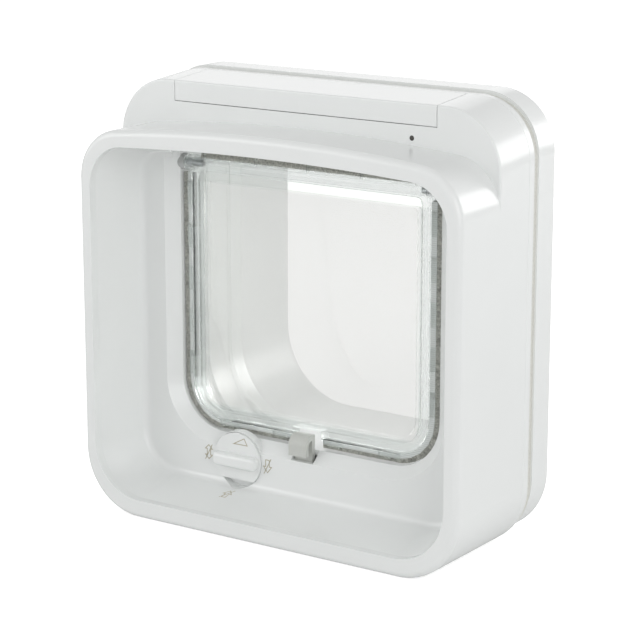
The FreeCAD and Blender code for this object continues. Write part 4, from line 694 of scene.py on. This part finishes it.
def place_mark(parts, name, tilt, place, target, body, material):
    """Joins a mark's parts, lays it before the target, presses it on and gives it its thickness."""
    sizes = bpy.context.scene.cat_flap_sizes
    pick(*parts)
    if len(parts) > 1:
        bpy.ops.object.join()
    mark = named(name)
    bpy.ops.object.mode_set(mode="EDIT")
    bpy.ops.mesh.select_all(action="SELECT")
    bpy.ops.mesh.quads_convert_to_tris()
    bpy.ops.mesh.subdivide(number_cuts=2)
    bpy.ops.object.mode_set(mode="OBJECT")
    mark.rotation_euler = (tilt, 0, 0)
    mark.location = place
    settle(mark)
    modify(mark, "SHRINKWRAP", target=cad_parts[target], wrap_method="NEAREST_SURFACEPOINT",
           wrap_mode="ON_SURFACE", offset=0)
    modify(mark, "SOLIDIFY", thickness=sizes.ink_height * 2, offset=0)
    wear(mark, material, body)
    return mark


class CATFLAP_OT_marks(bpy.types.Operator):
    """Prints the pointer on the dial and the arrows round it"""

    bl_idname = "catflap.marks"
    bl_label = "Marks"

    def execute(self, context):
        width = context.scene.cat_flap_sizes.line_width
        ink = pad_print("beige_pad_print", context.scene.cat_flap_colours.ink)
        low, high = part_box("lock_dial")
        across = (low.x + high.x) / 2
        height = high.z - (high.x - low.x) / 2
        face = low.y + 4.2 * MM
        fascia = face + 1.2 * MM
        upright = math.pi / 2
        place_mark([outline_mark("dial_pointer", POINTER, width)], "dial_pointer", upright,
                   (across, face, height), "lock_dial", "dial", ink)
        for name, shape, spot, tilt in (
            ("both_ways_mark", TWO_WAY_ARROW, (across - 17.8 * MM, fascia, height + 0.9 * MM), upright),
            ("outwards_mark", DOWN_ARROW, (across + 17.1 * MM, fascia, height - 0.5 * MM), upright),
            ("inwards_mark", UP_ARROW, (across - 0.2 * MM, fascia - 9.2 * MM, height - 14.9 * MM), 0.217),
        ):
            arrow = outline_mark(name, shape, width)
            slash = stroke(f"{name}_slash", (-2.1, -3.9), (2.1, 3.9), width)
            place_mark([arrow, slash], name, tilt, spot, "front_housing", "unit", ink)
        return {"FINISHED"}


class CATFLAP_OT_mouldings(bpy.types.Operator):
    """Finishes the white mouldings and the foam seal"""

    bl_idname = "catflap.mouldings"
    bl_label = "White mouldings"

    def execute(self, context):
        colours = context.scene.cat_flap_colours
        white = polished_abs("white_polished_abs", colours.housing)
        give(white, "front_housing", "rear_housing", "exterior_frame", "battery_cover", "screw_caps", "lock_dial")
        give(moulded_part("white_glass_filled_nylon", "#DADCDB"), "battery_tray")
        give(closed_cell_foam("beige_closed_cell_foam", colours.seal), "weather_seal")
        return {"FINISHED"}


class CATFLAP_OT_flap(bpy.types.Operator):
    """Finishes the clear flap, its hinge and the latch"""

    bl_idname = "catflap.flap"
    bl_label = "Flap and latch"

    def execute(self, context):
        colours = context.scene.cat_flap_colours
        give(clear_polycarbonate("clear_polycarbonate", colours), "flap_panel")
        give(spark_textured_acetal("grey_acetal", colours.latch), "latch_tongue", "learn_button")
        # The grey of the bushes is partly painted shade: it stands in for the ring of shadow round the hinge knuckle
        give(moulded_part("grey_acetal_bush_painted_shade", "#BEC0BF"), "hinge_bushes", "detent_cam")
        steel = zinc_plated_steel("zinc_plated_steel", linear("#C4C6C8"))
        give(steel, "hinge_pins", "latch_plunger", "solenoid_yoke", "detent_spring", "fixing_screws",
             "housing_screws")
        return {"FINISHED"}


class CATFLAP_OT_electrics(bpy.types.Operator):
    """Finishes the cells, contacts, boards, windings and status light"""

    bl_idname = "catflap.electrics"
    bl_label = "Electrics"

    def execute(self, context):
        give(sleeved_cell("sleeved_cell"), "battery_cells")
        give(zinc_plated_steel("nickel_plated_spring_steel", linear("#D2CEC2")), "battery_contacts")
        give(taped_winding("taped_winding", "#CFD1CE"), "antenna_coil")
        give(wound_copper("wound_copper_bobbin", "Z"), "solenoid_winding")
        for name in ("indicator_board", "control_board"):
            low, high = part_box(name)
            give(masked_circuit_board(f"{name}_mask", high.y - 1.6 * MM), name)
        give(moulded_part("black_switch_body", "#242526"), "learn_switch")
        give(smoked_acrylic("smoked_acrylic"), "light_guide")
        return {"FINISHED"}


def studio_white(strength):
    """White surround that the camera, gloss and glass see at full strength."""
    world = bpy.data.worlds.new("white_surround")
    bpy.context.scene.world = world
    world.use_nodes = True
    tree = world.node_tree
    tree.nodes.clear()
    path = node(tree, "ShaderNodeLightPath")
    seen = node(
        tree, "ShaderNodeMath",
        links={0: path.outputs["Is Camera Ray"], 1: path.outputs["Is Glossy Ray"]}, operation="MAXIMUM",
    ).outputs[0]
    seen = node(
        tree, "ShaderNodeMath", links={0: seen, 1: path.outputs["Is Transmission Ray"]}, operation="MAXIMUM"
    ).outputs[0]
    plain = node(tree, "ShaderNodeBackground", {"Color": (1, 1, 1, 1), "Strength": strength})
    white = node(tree, "ShaderNodeBackground", {"Color": (1, 1, 1, 1), "Strength": 1.0})
    mix = node(tree, "ShaderNodeMixShader", links={0: seen, 1: plain.outputs[0], 2: white.outputs[0]})
    node(tree, "ShaderNodeOutputWorld", links={"Surface": mix.outputs[0]})


def paper_floor(name, glow):
    # White paper sweep, with a little light of its own for the camera so that it reads as white
    material, tree, place = start_material(name)
    fibre = node(
        tree, "ShaderNodeTexNoise", {"Scale": per_mm(3), "Detail": 3.0}, {"Vector": place}
    ).outputs["Fac"]
    tone = ramp(tree, fibre, ((0.3, 0.86), (0.7, 0.88)))
    paper = node(
        tree, "ShaderNodeBsdfPrincipled", {"Roughness": 0.9, "Specular IOR Level": 0.0}, {"Base Color": tone}
    )
    light = node(tree, "ShaderNodeEmission", {"Color": (1, 1, 1, 1), "Strength": glow})
    both = node(tree, "ShaderNodeAddShader", links={0: paper.outputs[0], 1: light.outputs[0]})
    seen = node(tree, "ShaderNodeLightPath").outputs["Is Camera Ray"]
    finish_material(tree, node(
        tree, "ShaderNodeMixShader", links={0: seen, 1: paper.outputs[0], 2: both.outputs[0]}
    ))
    return material


def softbox(name, place, target, size, power):
    deselect()
    bpy.ops.object.light_add(type="AREA", location=place)
    lamp = named(name)
    lamp.data.shape = "RECTANGLE"
    lamp.data.size, lamp.data.size_y = size
    lamp.data.energy = power
    lamp.rotation_euler = (Vector(target) - Vector(place)).to_track_quat("-Z", "Y").to_euler()
    return lamp


class CATFLAP_OT_stage(bpy.types.Operator):
    """Lays the floor, hangs the softboxes and sets up the camera"""

    bl_idname = "catflap.stage"
    bl_label = "Stage"

    def execute(self, context):
        light = context.scene.cat_flap_light
        scene = context.scene
        scene.view_settings.view_transform = "Standard"
        studio_white(light.surround)
        deselect()
        bpy.ops.mesh.primitive_plane_add(size=16, location=(0, 0, -0.05 * MM))
        floor = named("floor")
        floor.data.materials.append(paper_floor("white_paper", light.floor_glow))
        middle = (0, 0, 0.11)
        softbox("top_softbox", (-0.1, 0.0, 1.3), middle, (1.4, 1.4), light.top_power)
        softbox("right_softbox", (1.24, -0.74, 0.46), middle, (1.0, 1.0), light.right_power)
        softbox("left_softbox", (-1.15, -1.0, 0.55), middle, (1.0, 1.0), light.left_power)
        softbox("rear_softbox", (0.6, 1.25, 0.42), middle, (0.8, 0.5), light.rear_power)
        softbox("back_softbox", (-0.8, 1.2, 0.8), middle, (0.8, 0.8), light.back_power)
        softbox("tunnel_softbox", (0.35, 1.25, 0.25), middle, (0.5, 0.4), light.tunnel_power)
        deselect()
        bpy.ops.object.camera_add(location=(0.5928, -0.8797, 0.3548))
        camera = named("camera")
        camera.rotation_euler = Vector((-0.5491, 0.8013, -0.2374)).to_track_quat("-Z", "Y").to_euler()
        camera.data.lens = 129.12
        camera.data.sensor_width = 36
        camera.data.clip_start = 0.05
        camera.data.clip_end = 40
        scene.camera = camera
        return {"FINISHED"}


OPERATORS = (
    CATFLAP_OT_stage,
    CATFLAP_OT_mouldings,
    CATFLAP_OT_flap,
    CATFLAP_OT_electrics,
    CATFLAP_OT_pile,
    CATFLAP_OT_marks,
)


class CATFLAP_PT_panel(bpy.types.Panel):
    """Lists the steps that dress the cat flap"""

    bl_idname = "CATFLAP_PT_panel"
    bl_label = "Cat flap"
    bl_space_type = "VIEW_3D"
    bl_region_type = "UI"
    bl_category = "Cat flap"

    def draw(self, context):
        for group in (context.scene.cat_flap_sizes, context.scene.cat_flap_colours, context.scene.cat_flap_light):
            for name in group.__annotations__:
                self.layout.prop(group, name)
        for operator in OPERATORS:
            self.layout.operator(operator.bl_idname)


CLASSES = (CatFlapSizes, CatFlapColours, CatFlapLight, *OPERATORS, CATFLAP_PT_panel)


def register():
    for item in CLASSES:
        bpy.utils.register_class(item)
    bpy.types.Scene.cat_flap_sizes = bpy.props.PointerProperty(type=CatFlapSizes)
    bpy.types.Scene.cat_flap_colours = bpy.props.PointerProperty(type=CatFlapColours)
    bpy.types.Scene.cat_flap_light = bpy.props.PointerProperty(type=CatFlapLight)


def unregister():
    del bpy.types.Scene.cat_flap_light
    del bpy.types.Scene.cat_flap_colours
    del bpy.types.Scene.cat_flap_sizes
    for item in reversed(CLASSES):
        bpy.utils.unregister_class(item)


def main():
    register()
    for operator in OPERATORS:
        group, name = operator.bl_idname.split(".")
        getattr(getattr(bpy.ops, group), name)()


if __name__ == "__main__":
    main()
